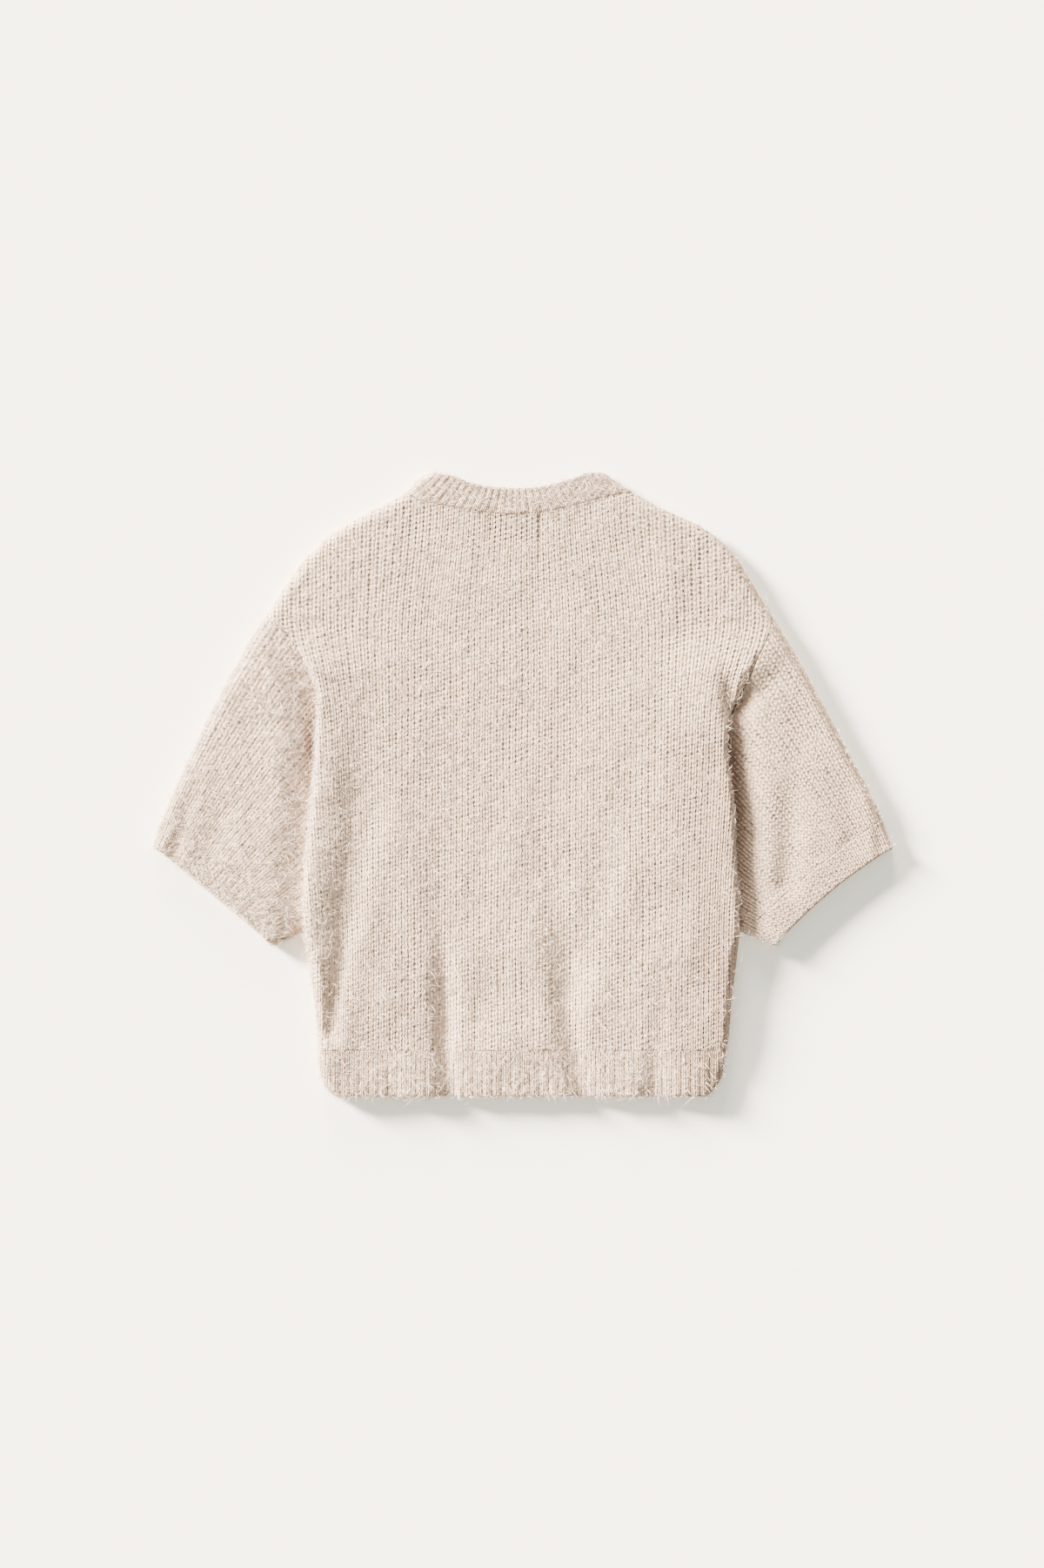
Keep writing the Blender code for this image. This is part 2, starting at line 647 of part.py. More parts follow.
for name, level in (("buttonhole_band", BAND_LEVEL), ("button_band", UPPER_BAND_LEVEL)):
    wall(name, band_grid(level), band_grid(level + BAND_WALL))

BUTTONS = 6
TOP_BUTTON = 196.0
LOW_BUTTON = -266.0
for n in range(BUTTONS):
    y = TOP_BUTTON + (LOW_BUTTON - TOP_BUTTON) * n / (BUTTONS - 1)
    bm = bmesh.new()
    bmesh.ops.create_cone(bm, cap_ends=True, segments=18, radius1=BUTTON_RADIUS * MM,
                          radius2=BUTTON_RADIUS * MM, depth=BUTTON_THICK * MM)
    rims = [e for e in bm.edges if abs(e.verts[0].co.z - e.verts[1].co.z) < 1e-6]
    bmesh.ops.bevel(bm, geom=rims, offset=0.6 * MM, segments=1, affect="EDGES", profile=0.5)
    bmesh.ops.translate(bm, verts=bm.verts[:], vec=(0.0, y * MM, BUTTON_THICK / 2 * MM))
    finish(f"button_{n + 1}", bm, BUTTON_COLOUR, 0.4)


# ---- the blank label under the back of the neck
LABEL_WALL = 0.8
LABEL = (-27.0, 15.0, 224.0, 246.5)  # left, right, bottom, top


def label_grid(depth):
    left, right, bottom, top = LABEL
    rows = []
    for y in spaced([bottom, top], 6.0):
        row = []
        for x in spaced([left, right], 6.0):
            row.append((x, y, float(body_height(x, y)) - WALL - GAP - depth))
        rows.append(row)
    return rows


wall("label", label_grid(0.0), label_grid(LABEL_WALL), colour=LABEL_COLOUR, roughness=0.8)
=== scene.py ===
"""Looks of the short-sleeve cardigan, on the frame that the CAD part gives.

The garment lies on a pale floor with its back up. Lengths in this file are in millimetres and are
turned into metres where a mesh is made. Each knitted piece is a closed shell: a lattice of
stitches outside, a plain coarse inside, and a rim between them.
"""
import math

import bmesh
import bpy
import numpy as np
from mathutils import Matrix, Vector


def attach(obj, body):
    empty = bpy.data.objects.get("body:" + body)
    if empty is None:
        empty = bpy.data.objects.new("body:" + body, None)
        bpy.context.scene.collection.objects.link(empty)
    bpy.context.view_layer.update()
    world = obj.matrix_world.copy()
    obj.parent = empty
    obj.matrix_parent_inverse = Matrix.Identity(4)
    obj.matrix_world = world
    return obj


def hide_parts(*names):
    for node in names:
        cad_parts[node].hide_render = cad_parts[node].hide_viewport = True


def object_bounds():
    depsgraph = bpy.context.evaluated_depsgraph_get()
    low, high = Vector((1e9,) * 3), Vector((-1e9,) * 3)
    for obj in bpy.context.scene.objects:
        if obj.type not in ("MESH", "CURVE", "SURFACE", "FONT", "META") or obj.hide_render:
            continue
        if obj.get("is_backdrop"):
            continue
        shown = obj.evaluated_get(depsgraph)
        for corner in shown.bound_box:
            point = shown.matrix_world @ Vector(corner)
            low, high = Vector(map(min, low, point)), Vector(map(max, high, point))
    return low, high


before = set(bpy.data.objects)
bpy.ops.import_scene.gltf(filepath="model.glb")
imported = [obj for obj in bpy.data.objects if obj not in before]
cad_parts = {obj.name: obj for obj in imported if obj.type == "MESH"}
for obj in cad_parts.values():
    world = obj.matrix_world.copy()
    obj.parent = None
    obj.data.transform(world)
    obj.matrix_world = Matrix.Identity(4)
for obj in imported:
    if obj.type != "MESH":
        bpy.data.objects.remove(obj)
CAD_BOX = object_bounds()
MM = 0.001
LEFT, RIGHT = -1, 1
HANDS = ((LEFT, "left"), (RIGHT, "right"))


# ---- Camera, floor and light
# The camera looks straight down, as in the photograph, where a pixel is 0.8 mm on the floor. A low
# sun at the upper left throws the shadows, and a weak second sun and a pale sky soften them.
SENSOR = 36.0
FRAME_TALL = 1441.6  # what the picture's height takes in, at the garment's level
CAMERA_UP = 2600.0
GARMENT_LEVEL = 10.0


def linked(name, data):
    """A new object, placed in the scene."""
    made = bpy.data.objects.new(name, data)
    bpy.context.collection.objects.link(made)
    return made


def shader(name, inputs):
    """A material, its node tree, and its shader with some inputs set."""
    made = bpy.data.materials.new(name)
    made.use_nodes = True
    principled = made.node_tree.nodes["Principled BSDF"]
    for key, value in inputs.items():
        principled.inputs[key].default_value = value
    return made, made.node_tree, principled


def sun(name, azimuth, elevation, energy, spread, colour):
    """A sun that shines from an azimuth, clockwise from +Y, at an elevation."""
    light = linked(name, bpy.data.lights.new(name, "SUN"))
    light.data.energy = energy
    light.data.angle = math.radians(spread)
    light.data.color = colour
    light.rotation_euler = (math.radians(elevation - 90.0), 0.0, math.radians(-azimuth))


camera = linked("camera", bpy.data.cameras.new("camera"))
camera.data.sensor_fit = "VERTICAL"
camera.data.sensor_height = SENSOR
camera.data.lens = SENSOR * (CAMERA_UP - GARMENT_LEVEL) / FRAME_TALL
camera.data.clip_end = 20.0
camera.location = (-0.8 * MM, 1.2 * MM, CAMERA_UP * MM)
bpy.context.scene.camera = camera

bpy.ops.mesh.primitive_plane_add(size=12.0)
floor = bpy.context.object
floor.name = "floor"
paper, _, _ = shader("paper", {
    "Base Color": (0.98, 0.895, 0.76, 1.0), "Roughness": 0.9, "Specular IOR Level": 0.1,
    "Emission Color": (0.95, 0.93, 0.74, 1.0), "Emission Strength": 0.5})
floor.data.materials.append(paper)
floor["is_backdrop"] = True

sun("key", -58.0, 15.0, 60.0, 13.0, (1.0, 0.97, 0.92))
sun("fill", -8.0, 11.0, 11.0, 20.0, (1.0, 0.97, 0.93))
world = bpy.data.worlds.new("studio")
world.use_nodes = True
background = world.node_tree.nodes["Background"].inputs
background["Color"].default_value = (0.93, 0.97, 1.0, 1.0)
background["Strength"].default_value = 0.9
bpy.context.scene.world = world


# ---- The garment's shape
# The CAD source's tables and rules, so that what is made here fits on its solids. Left is the
# wearer's left, at -X. Heights are those of the cloth's outer face.
WALL = 3.0
GAP = 0.3
FOLD_LEVEL = 6.0
TOP_ROLL = 9.0
FLOOR_ROLL = 7.0
SLEEVE_TOP = 13.0
TUCK_TOP = 8.6
BODY_MID = 12.5
BODY_SIDE = 18.0
HEM_SIDE = 14.0
SIDE_AT = 190.0
HEM_SEAM = -244.0
HEM_END = -286.0
CUFF = 29.0
NECKBAND = 24.0
BAND = 16.0
BUTTON_RADIUS = 9.0
BUTTON_THICK = 2.3
BAND_LEVEL = BUTTON_THICK + GAP
BAND_WALL = 2.8
UPPER_BAND_LEVEL = BAND_LEVEL + BAND_WALL + GAP
FRONT_NECK = 186.0
FRONT_RISE = 52.0  # how far from the middle a front starts to rise over its band
TINY = 1e-6

# The garment's outline: y, left x, right x
CONTOUR = [
    (-57, -340.0, 340.5), (-18, -326.0, 325.0), (30, -304.0, 299.5), (78, -280.5, 274.0),
    (126, -254.5, 247.5), (154, -237.0, 230.0), (186, -216.5, 211.0), (210, -199.0, 196.0),
    (234, -171.5, 170.5), (258, -127.5, 121.5), (270, -107.0, 100.5), (284.4, -92.8, 78.0),
    (288.4, -81.0, 72.8),
]
ARMHOLE = [
    (154, -237.0, 230.0), (138, -216.0, 226.0), (116, -203.5, 216.0), (98, -194.0, 208.0),
    (86, -187.5, 202.0), (66, -182.0, 193.0), (30, -173.0, 178.0), (-40, -158.0, 160.0),
    (-112, -145.0, 145.0),
]
SIDE_FOLD = [
    (100, -194.0, 207.0), (86, -188.5, 201.0), (72, -188.5, 194.0), (56, -188.8, 188.0),
    (34, -189.6, 187.6), (0, -191.6, 192.0), (-56, -197.6, 196.0), (-100, -200.0, 197.6),
    (-130, -199.0, 198.6), (-166, -195.0, 196.0), (-202, -191.5, 191.5), (-239, -188.0, 188.0),
    (-268, -184.0, 183.0), (-282, -177.0, 174.0), (-286, -170.0, 168.0),
]
# Left y, right y, turn in degrees, share of the drop
TURN = [
    (154, 154, 4.0, 0.01), (142, 134, 10.0, 0.06), (130, 112, 30.0, 0.28), (118, 98, 52.0, 0.57),
    (106, 86, 75.0, 0.81), (95, 74, 110.0, 0.97), (86, 62, 150.0, 1.0), (76, 50, 180.0, 1.0),
]
NECK_SEAM = [
    (-107, 270.0), (-97, 263.5), (-62, 255.6), (-33, 251.2), (-10, 249.2), (14, 250.6),
    (46, 257.0), (66, 262.0), (85, 267.0), (100.5, 270.0),
]
NECK_EDGE = [
    (-81, 288.4), (-65, 284.6), (-49, 279.0), (-28, 274.2), (-2, 273.2), (20, 275.6),
    (44, 282.2), (60, 287.4), (72.8, 288.4),
]
# Folds pressed into the upper cloth: from x, y to x, y, half width, depth at each end
BODY_FOLDS = [
    (-138, 90, -150, -30, 19, 0.5, 3.2),
    (-150, -30, -165, -130, 16, 3.2, 4.0),
    (-165, -130, -177, -225, 10, 4.0, 5.5),
    (-121, -235, -120, -290, 9, 0.5, 2.0),
    (-77, -110, -73, -200, 11, 0.5, 5.5),
    (-73, -200, -71, -290, 10, 5.5, 6.0),
    (31, -80, 39, -200, 15, 0.5, 3.5),
    (39, -200, 53, -290, 12, 3.5, 4.5),
    (134, -150, 118, -290, 13, 0.5, 4.5),
    (186, 116, 192, 66, 8, 0.5, 6.0),
    (174, -230, 178, -290, 7, 0.5, 2.5),
]
TROUGHS = 9  # the first body folds are troughs of the open panel, and the others lie at its sides
SLEEVE_FOLDS = [
    (-300, 10, -322, -62, 8, 0.5, 2.6),
    (-262, 30, -292, -70, 15, 0.3, 1.5),
    (251, 60, 243, -90, 13, 0.5, 3.0),
    (322, -20, 330, -56, 6, 0.5, 2.0),
    (290, 40, 303, -50, 12, 0.3, 1.4),
]


def ease(t):
    t = np.clip(t, 0.0, 1.0)
    return t * t * (3.0 - 2.0 * t)


def rounded(distance, radius):
    """0 at a folded edge, rising on a quarter circle to 1 at the radius."""
    t = 1.0 - np.clip(distance / radius, 0.0, 1.0)
    return np.sqrt(1.0 - t * t)


def lean_in(depth, distance, radius):
    """How far a face that is deep in the wall keeps in from a folded edge."""
    return depth * (1.0 - np.clip(distance / radius, 0.0, 1.0))


def mix(first, second, share):
    return first + (second - first) * share


class Through:
    """A smooth curve through a table's points that never overshoots them."""

    def __init__(self, keys, values):
        order = np.argsort(keys)
        self.key = np.array(keys, float)[order]
        self.value = np.array(values, float)[order]
        rise = np.diff(self.value) / np.diff(self.key)
        self.slope = np.zeros(len(self.key))
        self.slope[0] = rise[0]
        self.slope[-1] = rise[-1]
        for i in range(1, len(rise)):
            if rise[i - 1] * rise[i] > 0:
                self.slope[i] = 2 * rise[i - 1] * rise[i] / (rise[i - 1] + rise[i])

    def __call__(self, at):
        at = np.clip(at, self.key[0], self.key[-1])
        i = np.clip(np.searchsorted(self.key, at, "right") - 1, 0, len(self.key) - 2)
        long = self.key[i + 1] - self.key[i]
        t = (at - self.key[i]) / long
        return (
            self.value[i] * (1 + 2 * t) * (1 - t) ** 2
            + self.value[i + 1] * t * t * (3 - 2 * t)
            + self.slope[i] * long * t * (1 - t) ** 2
            - self.slope[i + 1] * long * t * t * (1 - t)
        )

    def rate(self, at):
        return self(at + 0.5) - self(at - 0.5)


def column(table, key, value):
    return Through([row[key] for row in table], [row[value] for row in table])


contour, armhole, side_fold = ({LEFT: column(table, 0, 1), RIGHT: column(table, 0, 2)}
                               for table in (CONTOUR, ARMHOLE, SIDE_FOLD))
turn = {LEFT: column(TURN, 0, 2), RIGHT: column(TURN, 1, 2)}
drop_share = {LEFT: column(TURN, 0, 3), RIGHT: column(TURN, 1, 3)}
neck_seam = column(NECK_SEAM, 0, 1)
neck_edge = column(NECK_EDGE, 0, 1)
CONTOUR_ROWS = [row[0] for row in CONTOUR]
contour_y = {hand: Through([contour[hand](y) * hand for y in CONTOUR_ROWS], CONTOUR_ROWS)
             for hand in (LEFT, RIGHT)}
SHOULDER_Y = ARMHOLE[0][0]
UNDERARM = (145.0, -112.0)
CUFF_INNER = (231.5, -147.0)
CUFF_OUTER_Y = -57.0
UNDERARM_SLOPE = (UNDERARM[1] - CUFF_INNER[1]) / (CUFF_INNER[0] - UNDERARM[0])
SIDE_SEAM_END = 157.0
SLOPE_ENDS = (-56.0, 287.0)  # the outline's slope is taken between these heights
OUTLINE_TOP = 288.3  # just under the outline's highest point
NECK_ENDS = (NECK_SEAM[0][0], NECK_SEAM[-1][0])
NECK_OUT = {LEFT: -NECK_ENDS[0], RIGHT: NECK_ENDS[1]}
NECK_TOP = NECK_SEAM[0][1]
ARMHOLE_TURNS = 86.0  # below this height the body's edge is its side fold


def side_seam(y, hand):
    """How far out the side seam is, or above the underarm the armhole's seam."""
    below = np.clip((UNDERARM[1] - y) / (UNDERARM[1] - HEM_END), 0.0, 1.0)
    return np.where(y >= UNDERARM[1], np.abs(armhole[hand](y)),
                    mix(UNDERARM[0], SIDE_SEAM_END, below))


def armhole_slant(y, hand):
    """Length of the armhole's seam for a step in y."""
    return np.hypot(1.0, armhole[hand].rate(np.minimum(y, SHOULDER_Y - 1.0)))


def past_underarm(out, y):
    """How far a point is above the line from the underarm to the cuff."""
    return y - (UNDERARM[1] - (out - UNDERARM[0]) * UNDERARM_SLOPE)


def contour_edge(x, y):
    """The distance in from the outline's folded edge, and the direction in."""
    best = np.full(x.shape, 1e9)
    way_x = np.zeros(x.shape)
    way_y = np.zeros(x.shape)
    for hand in (LEFT, RIGHT):
        rate = contour[hand].rate(np.clip(y, *SLOPE_ENDS))
        long = np.sqrt(1.0 + rate * rate)
        away = -hand * (x - contour[hand](y)) / long
        nearer = away < best
        best = np.where(nearer, away, best)
        way_x = np.where(nearer, -hand / long, way_x)
        way_y = np.where(nearer, hand * rate / long, way_y)
    return np.maximum(best, 0.0), way_x, way_y


def folds(x, y, table):
    """How deep the folds of a table are at a point."""
    deep = np.zeros(np.shape(x))
    for x0, y0, x1, y1, half, deep0, deep1 in table:
        long = math.hypot(x1 - x0, y1 - y0)
        along = ((x - x0) * (x1 - x0) + (y - y0) * (y1 - y0)) / long
        across = ((x - x0) * (y1 - y0) - (y - y0) * (x1 - x0)) / long
        beyond = np.maximum(np.maximum(-along, along - long), 0.0)
        size = mix(deep0, deep1, ease(along / long))
        deep = np.maximum(deep, size * np.exp(-((across / half) ** 2) - (beyond / 14.0) ** 2))
    return deep


def body_height(x, y):
    """Height of the back's outer face, inside its side folds."""
    over_sleeve = ease((150.0 - y) / 50.0)
    to_hem = ease((-150.0 - y) / 110.0)
    side = SLEEVE_TOP + (BODY_SIDE - SLEEVE_TOP) * over_sleeve - (BODY_SIDE - HEM_SIDE) * to_hem
    out = np.clip(np.abs(x) / SIDE_AT, 0.0, 1.0) ** 2.6
    return mix(BODY_MID, side, out) - folds(x, y, BODY_FOLDS)


def under_body(x, y):
    """Height of the underside of the cloth that is tucked under at the body's sides."""
    return (TUCK_TOP + GAP) * ease((past_underarm(np.abs(x), y) + 21.0) / 16.0)


def fit_sides(hand):
    """For each line across the body: where its side starts to turn under, how, and how far."""
    y = np.arange(HEM_END, 292.0, 1.0)
    angle = np.radians(turn[hand](y))
    seam = side_seam(y, hand)
    edge = np.where(angle > math.pi / 2, np.abs(side_fold[hand](y)),
                    seam - 1.4 * GAP * armhole_slant(y, hand))
    low = under_body(edge - 6.0, y)
    start = edge - 4.0
    for _ in range(12):
        height = body_height(hand * start, y)
        radius = (height - low) * drop_share[hand](y) / (1.0 - np.cos(angle))
        reach = np.where(angle > math.pi / 2, radius, radius * np.sin(angle))
        start = 0.5 * start + 0.5 * (edge - reach)
    tuck = np.where(angle > math.radians(179.0), np.maximum(start - seam, 0.0), 0.0)
    return {"y": y, "start": start, "radius": radius, "angle": angle, "height": height,
            "span": start + radius * angle + tuck}


sides = {hand: fit_sides(hand) for hand in (LEFT, RIGHT)}


def fitted(y, hand, key):
    return np.interp(y, sides[hand]["y"], sides[hand][key])


def side(s, y, key):
    """A value of the side fits, for points at s across the body."""
    return np.where(s < 0, fitted(y, LEFT, key), fitted(y, RIGHT, key))


def seam_heights(y, hand):
    """Height of the cloth at the armhole seam, where it shows."""
    height, radius, angle = (fitted(y, hand, key) for key in ("height", "radius", "angle"))
    edge = height - radius * (1.0 - np.cos(angle))
    return np.maximum(TUCK_TOP, edge - GAP * ease((angle - 1.0) / 0.5))


def back_at(s, y, depth, lift=0.0):
    """Points of the back: s is how far out they are, along the cloth. Depth 0 is its outer face."""
    hand = np.where(s < 0, -1.0, 1.0)
    start, radius, angle = side(s, y, "start"), side(s, y, "radius"), side(s, y, "angle")
    out = np.minimum(np.abs(s), side(s, y, "span"))
    turned = np.clip((out - start) / radius, 0.0, angle)
    shown = np.clip(np.cos(turned) + 0.5, 0.0, 1.0)
    around = radius - depth + lift * shown
    flat = out <= start
    x = hand * np.where(flat, out, start + around * np.sin(turned))
    turned_z = side(s, y, "height") - radius + around * np.cos(turned)
    z = np.where(flat, body_height(x, y) + lift - depth, turned_z)
    rest = out - start - radius * angle
    under = (rest > TINY) & (angle > math.radians(179.0))
    x = np.where(under, hand * (start - rest), x)
    z = np.where(under, under_body(x, y) + depth, z)
    edge, way_x, way_y = contour_edge(x, y)
    top = flat | (angle < math.pi / 2)
    lean = np.where(top, lean_in(depth, edge, TOP_ROLL), 0.0)
    z = np.where(top, mix(FOLD_LEVEL, z, rounded(edge, TOP_ROLL)), z)
    return x + way_x * lean, y + way_y * lean, z


def beside_body(x, y, hand):
    """How far out from the body's edge a point of a sleeve is."""
    return hand * (x - np.where(y > ARMHOLE_TURNS, armhole[hand](y), side_fold[hand](y)))


def sleeve_high(x, y, hand):
    """Height of a sleeve's upper face, which dips where the body lies over it."""
    away = beside_body(x, y, hand)
    low = np.where(y > 60.0, seam_heights(y, hand), TUCK_TOP)
    tall = SLEEVE_TOP - folds(x, y, SLEEVE_FOLDS) * ease(away / 20.0)
    reach = 34.0 - 8.0 * (hand == RIGHT) * np.exp(-(((y - 70.0) / 20.0) ** 2))
    return mix(low, tall, ease((away - reach / 8.5) / reach))


def sleeve_plan(share, across, hand, peek):
    """Points of a sleeve in plan: share 1 at the cuff's edge, across 0 at its outer fold."""
    top_x, outer_x = contour[hand](SHOULDER_Y), contour[hand](CUFF_OUTER_Y)
    seam_y = mix(SHOULDER_Y, UNDERARM[1], across)
    x = mix(armhole[hand](seam_y), mix(outer_x, hand * CUFF_INNER[0], across), share)
    y = mix(seam_y, mix(CUFF_OUTER_Y, CUFF_INNER[1], across), share)
    edge_x = contour[hand](mix(SHOULDER_Y, CUFF_OUTER_Y, share))
    x = x + (edge_x - top_x - (outer_x - top_x) * share) * (1.0 - across) ** 2
    bow = peek * np.sin(math.pi * across) * np.clip(share, 0.0, 1.0) ** 4
    return x - hand * bow * 0.35, y + bow


def sleeve_long(across, hand):
    """Length of a sleeve from the armhole to the cuff's edge."""
    x0, y0 = sleeve_plan(0.0, across, hand, 0.0)
    x1, y1 = sleeve_plan(1.0, across, hand, 0.0)
    return np.hypot(x1 - x0, y1 - y0)


PEEK = {LEFT: (5.5, 0.0), RIGHT: (5.0, 5.0)}  # how far a cuff's edges bow up: upper, lower layer


def sleeve_at(q, down, hand, depth, lift=0.0):
    """Points of a sleeve. q goes round it: 0 at the outer fold, 1 at the underarm, 2 back again.
    Down is the distance from the cuff's edge."""
    q = np.mod(q, 2.0)
    upper = q <= 1.0
    across = np.where(upper, q, 2.0 - q)
    share = 1.0 - down / sleeve_long(across, hand)
    x, y = sleeve_plan(share, across, hand, np.where(upper, PEEK[hand][0], PEEK[hand][1]))
    radius = np.where(upper, TOP_ROLL, FLOOR_ROLL)
    edge, way_x, way_y = contour_edge(x, y)
    edge = np.where(across < 0.001, 0.0, edge)
    long = math.hypot(1.0, UNDERARM_SLOPE)
    under = np.maximum(past_underarm(hand * x, y) / long, 0.0)
    under = np.where(across > 0.999, 0.0, under)
    lean, lean_under = lean_in(depth, edge, radius), lean_in(depth, under, radius)
    tall = np.where(upper, sleeve_high(x, y, hand) - depth + lift, depth)
    z = FOLD_LEVEL + (tall - FOLD_LEVEL) * rounded(edge, radius) * rounded(under, radius)
    x = x + way_x * lean + hand * UNDERARM_SLOPE / long * lean_under
    return x, y + way_y * lean + lean_under / long, z


def front_at(x, y, depth):
    """Points of a front's wall. Depth 0 is its outer face, which lies on the floor."""
    edge, way_x, way_y = contour_edge(x, y)
    lean = lean_in(depth, edge, FLOOR_ROLL)
    level = np.where(x < 0, UPPER_BAND_LEVEL, BAND_LEVEL)
    level = level * ease((FRONT_RISE - np.abs(x)) / (FRONT_RISE - BAND)) + depth
    z = mix(FOLD_LEVEL - GAP, level, rounded(edge, FLOOR_ROLL))
    return x + way_x * lean, y + way_y * lean, z


# ---- Shells of knit
# A shell is a fine lattice of stitches, brought in to the piece's outline, with a plain inside and
# a rim between the two.
WALE = 5.5  # width of a stitch
COURSE = 4.5  # its height
STEP = 0.618  # share of a course that each wale stands off the last


def quads_of(grid):
    """The four corners of each cell of a grid."""
    corners = grid[:-1, :-1], grid[:-1, 1:], grid[1:, 1:], grid[1:, :-1]
    return np.stack(corners, -1).reshape(-1, 4)


def panel(us, vs, bring_in, at, depth, relief=None, ring=False):
    """Points, stitch coordinates and faces of a lattice of stitches, on one side of a piece's wall.
    bring_in turns stitch coordinates into the piece's own, inside its outline, and says which it
    moved. Cells that are all moved are dropped. relief gives how far each point stands out."""
    u, v = np.meshgrid(us, vs)
    p, q, moved = bring_in(u, v)
    lift = 0.0 if relief is None else relief(u, v, p, q)
    points = np.stack(at(p, q, depth, lift), -1).reshape(-1, 3)
    index = np.arange(u.size).reshape(u.shape)
    if ring:
        index, moved = (np.concatenate([grid, grid[:, :1]], 1) for grid in (index, moved))
    kept = quads_of(index)[~quads_of(moved).all(1)]
    _, first, same = np.unique(np.round(points / 0.03).astype(np.int64), axis=0,
                               return_index=True, return_inverse=True)
    faces = []
    for quad in same.reshape(-1)[kept].tolist():
        face = list(dict.fromkeys(quad))
        if len(face) > 2:
            faces.append(face)
    return points[first], np.stack([u.reshape(-1)[first], v.reshape(-1)[first]], -1), faces


def loops(faces):
    """The closed lines of open edges round a lattice, each in its faces' direction."""
    edges = set()
    for face in faces:
        edges.update(zip(face, face[1:] + face[:1]))
    after = {a: b for a, b in edges if (b, a) not in edges}
    found = []
    while after:
        at = min(after)
        loop = []
        while at in after:
            loop.append(at)
            at = after.pop(at)
        found.append(loop)
    return sorted(found, key=len, reverse=True)


def rim(points, outer, inner):
    """Triangles between two loops that run side by side."""
    start = int(np.argmin(np.linalg.norm(points[inner] - points[outer[0]], axis=1)))
    inner = inner[start:] + inner[:start]
    outer = outer + outer[:1]
    inner = inner + inner[:1]
    faces = []
    i = j = 0
    while i < len(outer) - 1 or j < len(inner) - 1:
        ahead = i < len(outer) - 1
        if ahead and j < len(inner) - 1:
            step_outer = np.linalg.norm(points[outer[i + 1]] - points[inner[j]])
            ahead = step_outer <= np.linalg.norm(points[outer[i]] - points[inner[j + 1]])
        if ahead:
            faces.append([outer[i + 1], outer[i], inner[j]])
            i += 1
        else:
            faces.append([inner[j], inner[j + 1], outer[i]])
            j += 1
    return faces


def piece(name, points, faces, stitch, material, node, slot):
    """A mesh object in metres that stands for a CAD node. Stitch has u, v, openness and shade."""
    mesh = bpy.data.meshes.new(name)
    mesh.from_pydata((points * MM).tolist(), [], faces)
    mesh.polygons.foreach_set("use_smooth", [True] * len(mesh.polygons))
    if stitch is not None:
        stitch = np.ascontiguousarray(stitch, np.float32)
        values = mesh.attributes.new("stitch", "FLOAT_VECTOR", "POINT")
        values.data.foreach_set("vector", stitch[:, :3].reshape(-1))
        values = mesh.attributes.new("shade", "FLOAT", "POINT")
        values.data.foreach_set("value", stitch[:, 3].copy())
    mesh.materials.append(material)
    mesh.update()
    made = linked(name, mesh)
    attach(made, "root")
    if node:
        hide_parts(node)
    return made


outer_faces = {}  # how many faces a shell has on its outside


def shell(name, fine, coarse, open_, shade, material, slot, rings=1):
    """A closed shell from its outer and inner lattices. It stands for the CAD node of its name."""
    points, stitch, faces = fine
    inner_points, inner_stitch, inner_faces = coarse
    every = np.concatenate([points, inner_points])
    shift = len(points)
    outer_loops = loops(faces)[:rings]
    inner_loops = [[i + shift for i in loop] for loop in loops(inner_faces)[:rings]]
    turned = [[i + shift for i in reversed(face)] for face in inner_faces]
    rims = []
    for loop in outer_loops:
        middle = every[loop].mean(0)
        away = [np.linalg.norm(every[other].mean(0) - middle) for other in inner_loops]
        rims += rim(every, loop, inner_loops[int(np.argmin(away))])
    uv = np.concatenate([stitch, inner_stitch])
    x, y = every[:, 0], every[:, 1]
    full = np.column_stack([uv, open_(x, y, uv[:, 0], uv[:, 1]), shade(x, y, uv[:, 0], uv[:, 1])])
    made = piece(name + "_knit", every, faces + turned + rims, full, material, name, slot)
    outer_faces[made.name] = len(faces)
    count = len(made.data.polygons)
    made.data.polygons.foreach_set("use_smooth", np.arange(count) < count - len(rims))
    return made


def cells(u, v, seed):
    """A steady random number from -1 to 1 for each stitch."""
    table = np.random.default_rng(seed).random((512, 512)) * 2 - 1
    return table[np.floor(u).astype(int) % 512, np.floor(v).astype(int) % 512]


def cloudy(x, y, seed, size):
    """Soft unevenness from -1 to 1, with lumps of about the given size."""
    rng = np.random.default_rng(seed)
    total = np.zeros(np.shape(x))
    for _ in range(7):
        way = rng.random() * 2 * math.pi
        wave = 2 * math.pi / (size * (0.7 + 0.9 * rng.random()))
        total = total + np.sin((x * math.cos(way) + y * math.sin(way)) * wave + rng.random() * 6.28)
    return total / 3.5


def stitch_relief(u, v, open_):
    """Height of the stitches: two slanting legs a wale, with a hole where they part. Each wale
    stands a part of a course off the next."""
    a = np.abs(2 * (u - np.floor(u)) - 1)
    v = v + np.mod(np.floor(u) * STEP, 1.0)
    leg = np.sin(math.pi * a)
    along = 0.5 + 0.5 * np.cos(2 * math.pi * (v - 0.4 * a))
    hole = (1 - a) ** 2 * (0.5 + 0.5 * np.cos(2 * math.pi * v))
    return 0.38 * leg * (0.5 + 0.5 * along) - (0.25 + 0.65 * open_) * hole - 0.25 * a ** 6


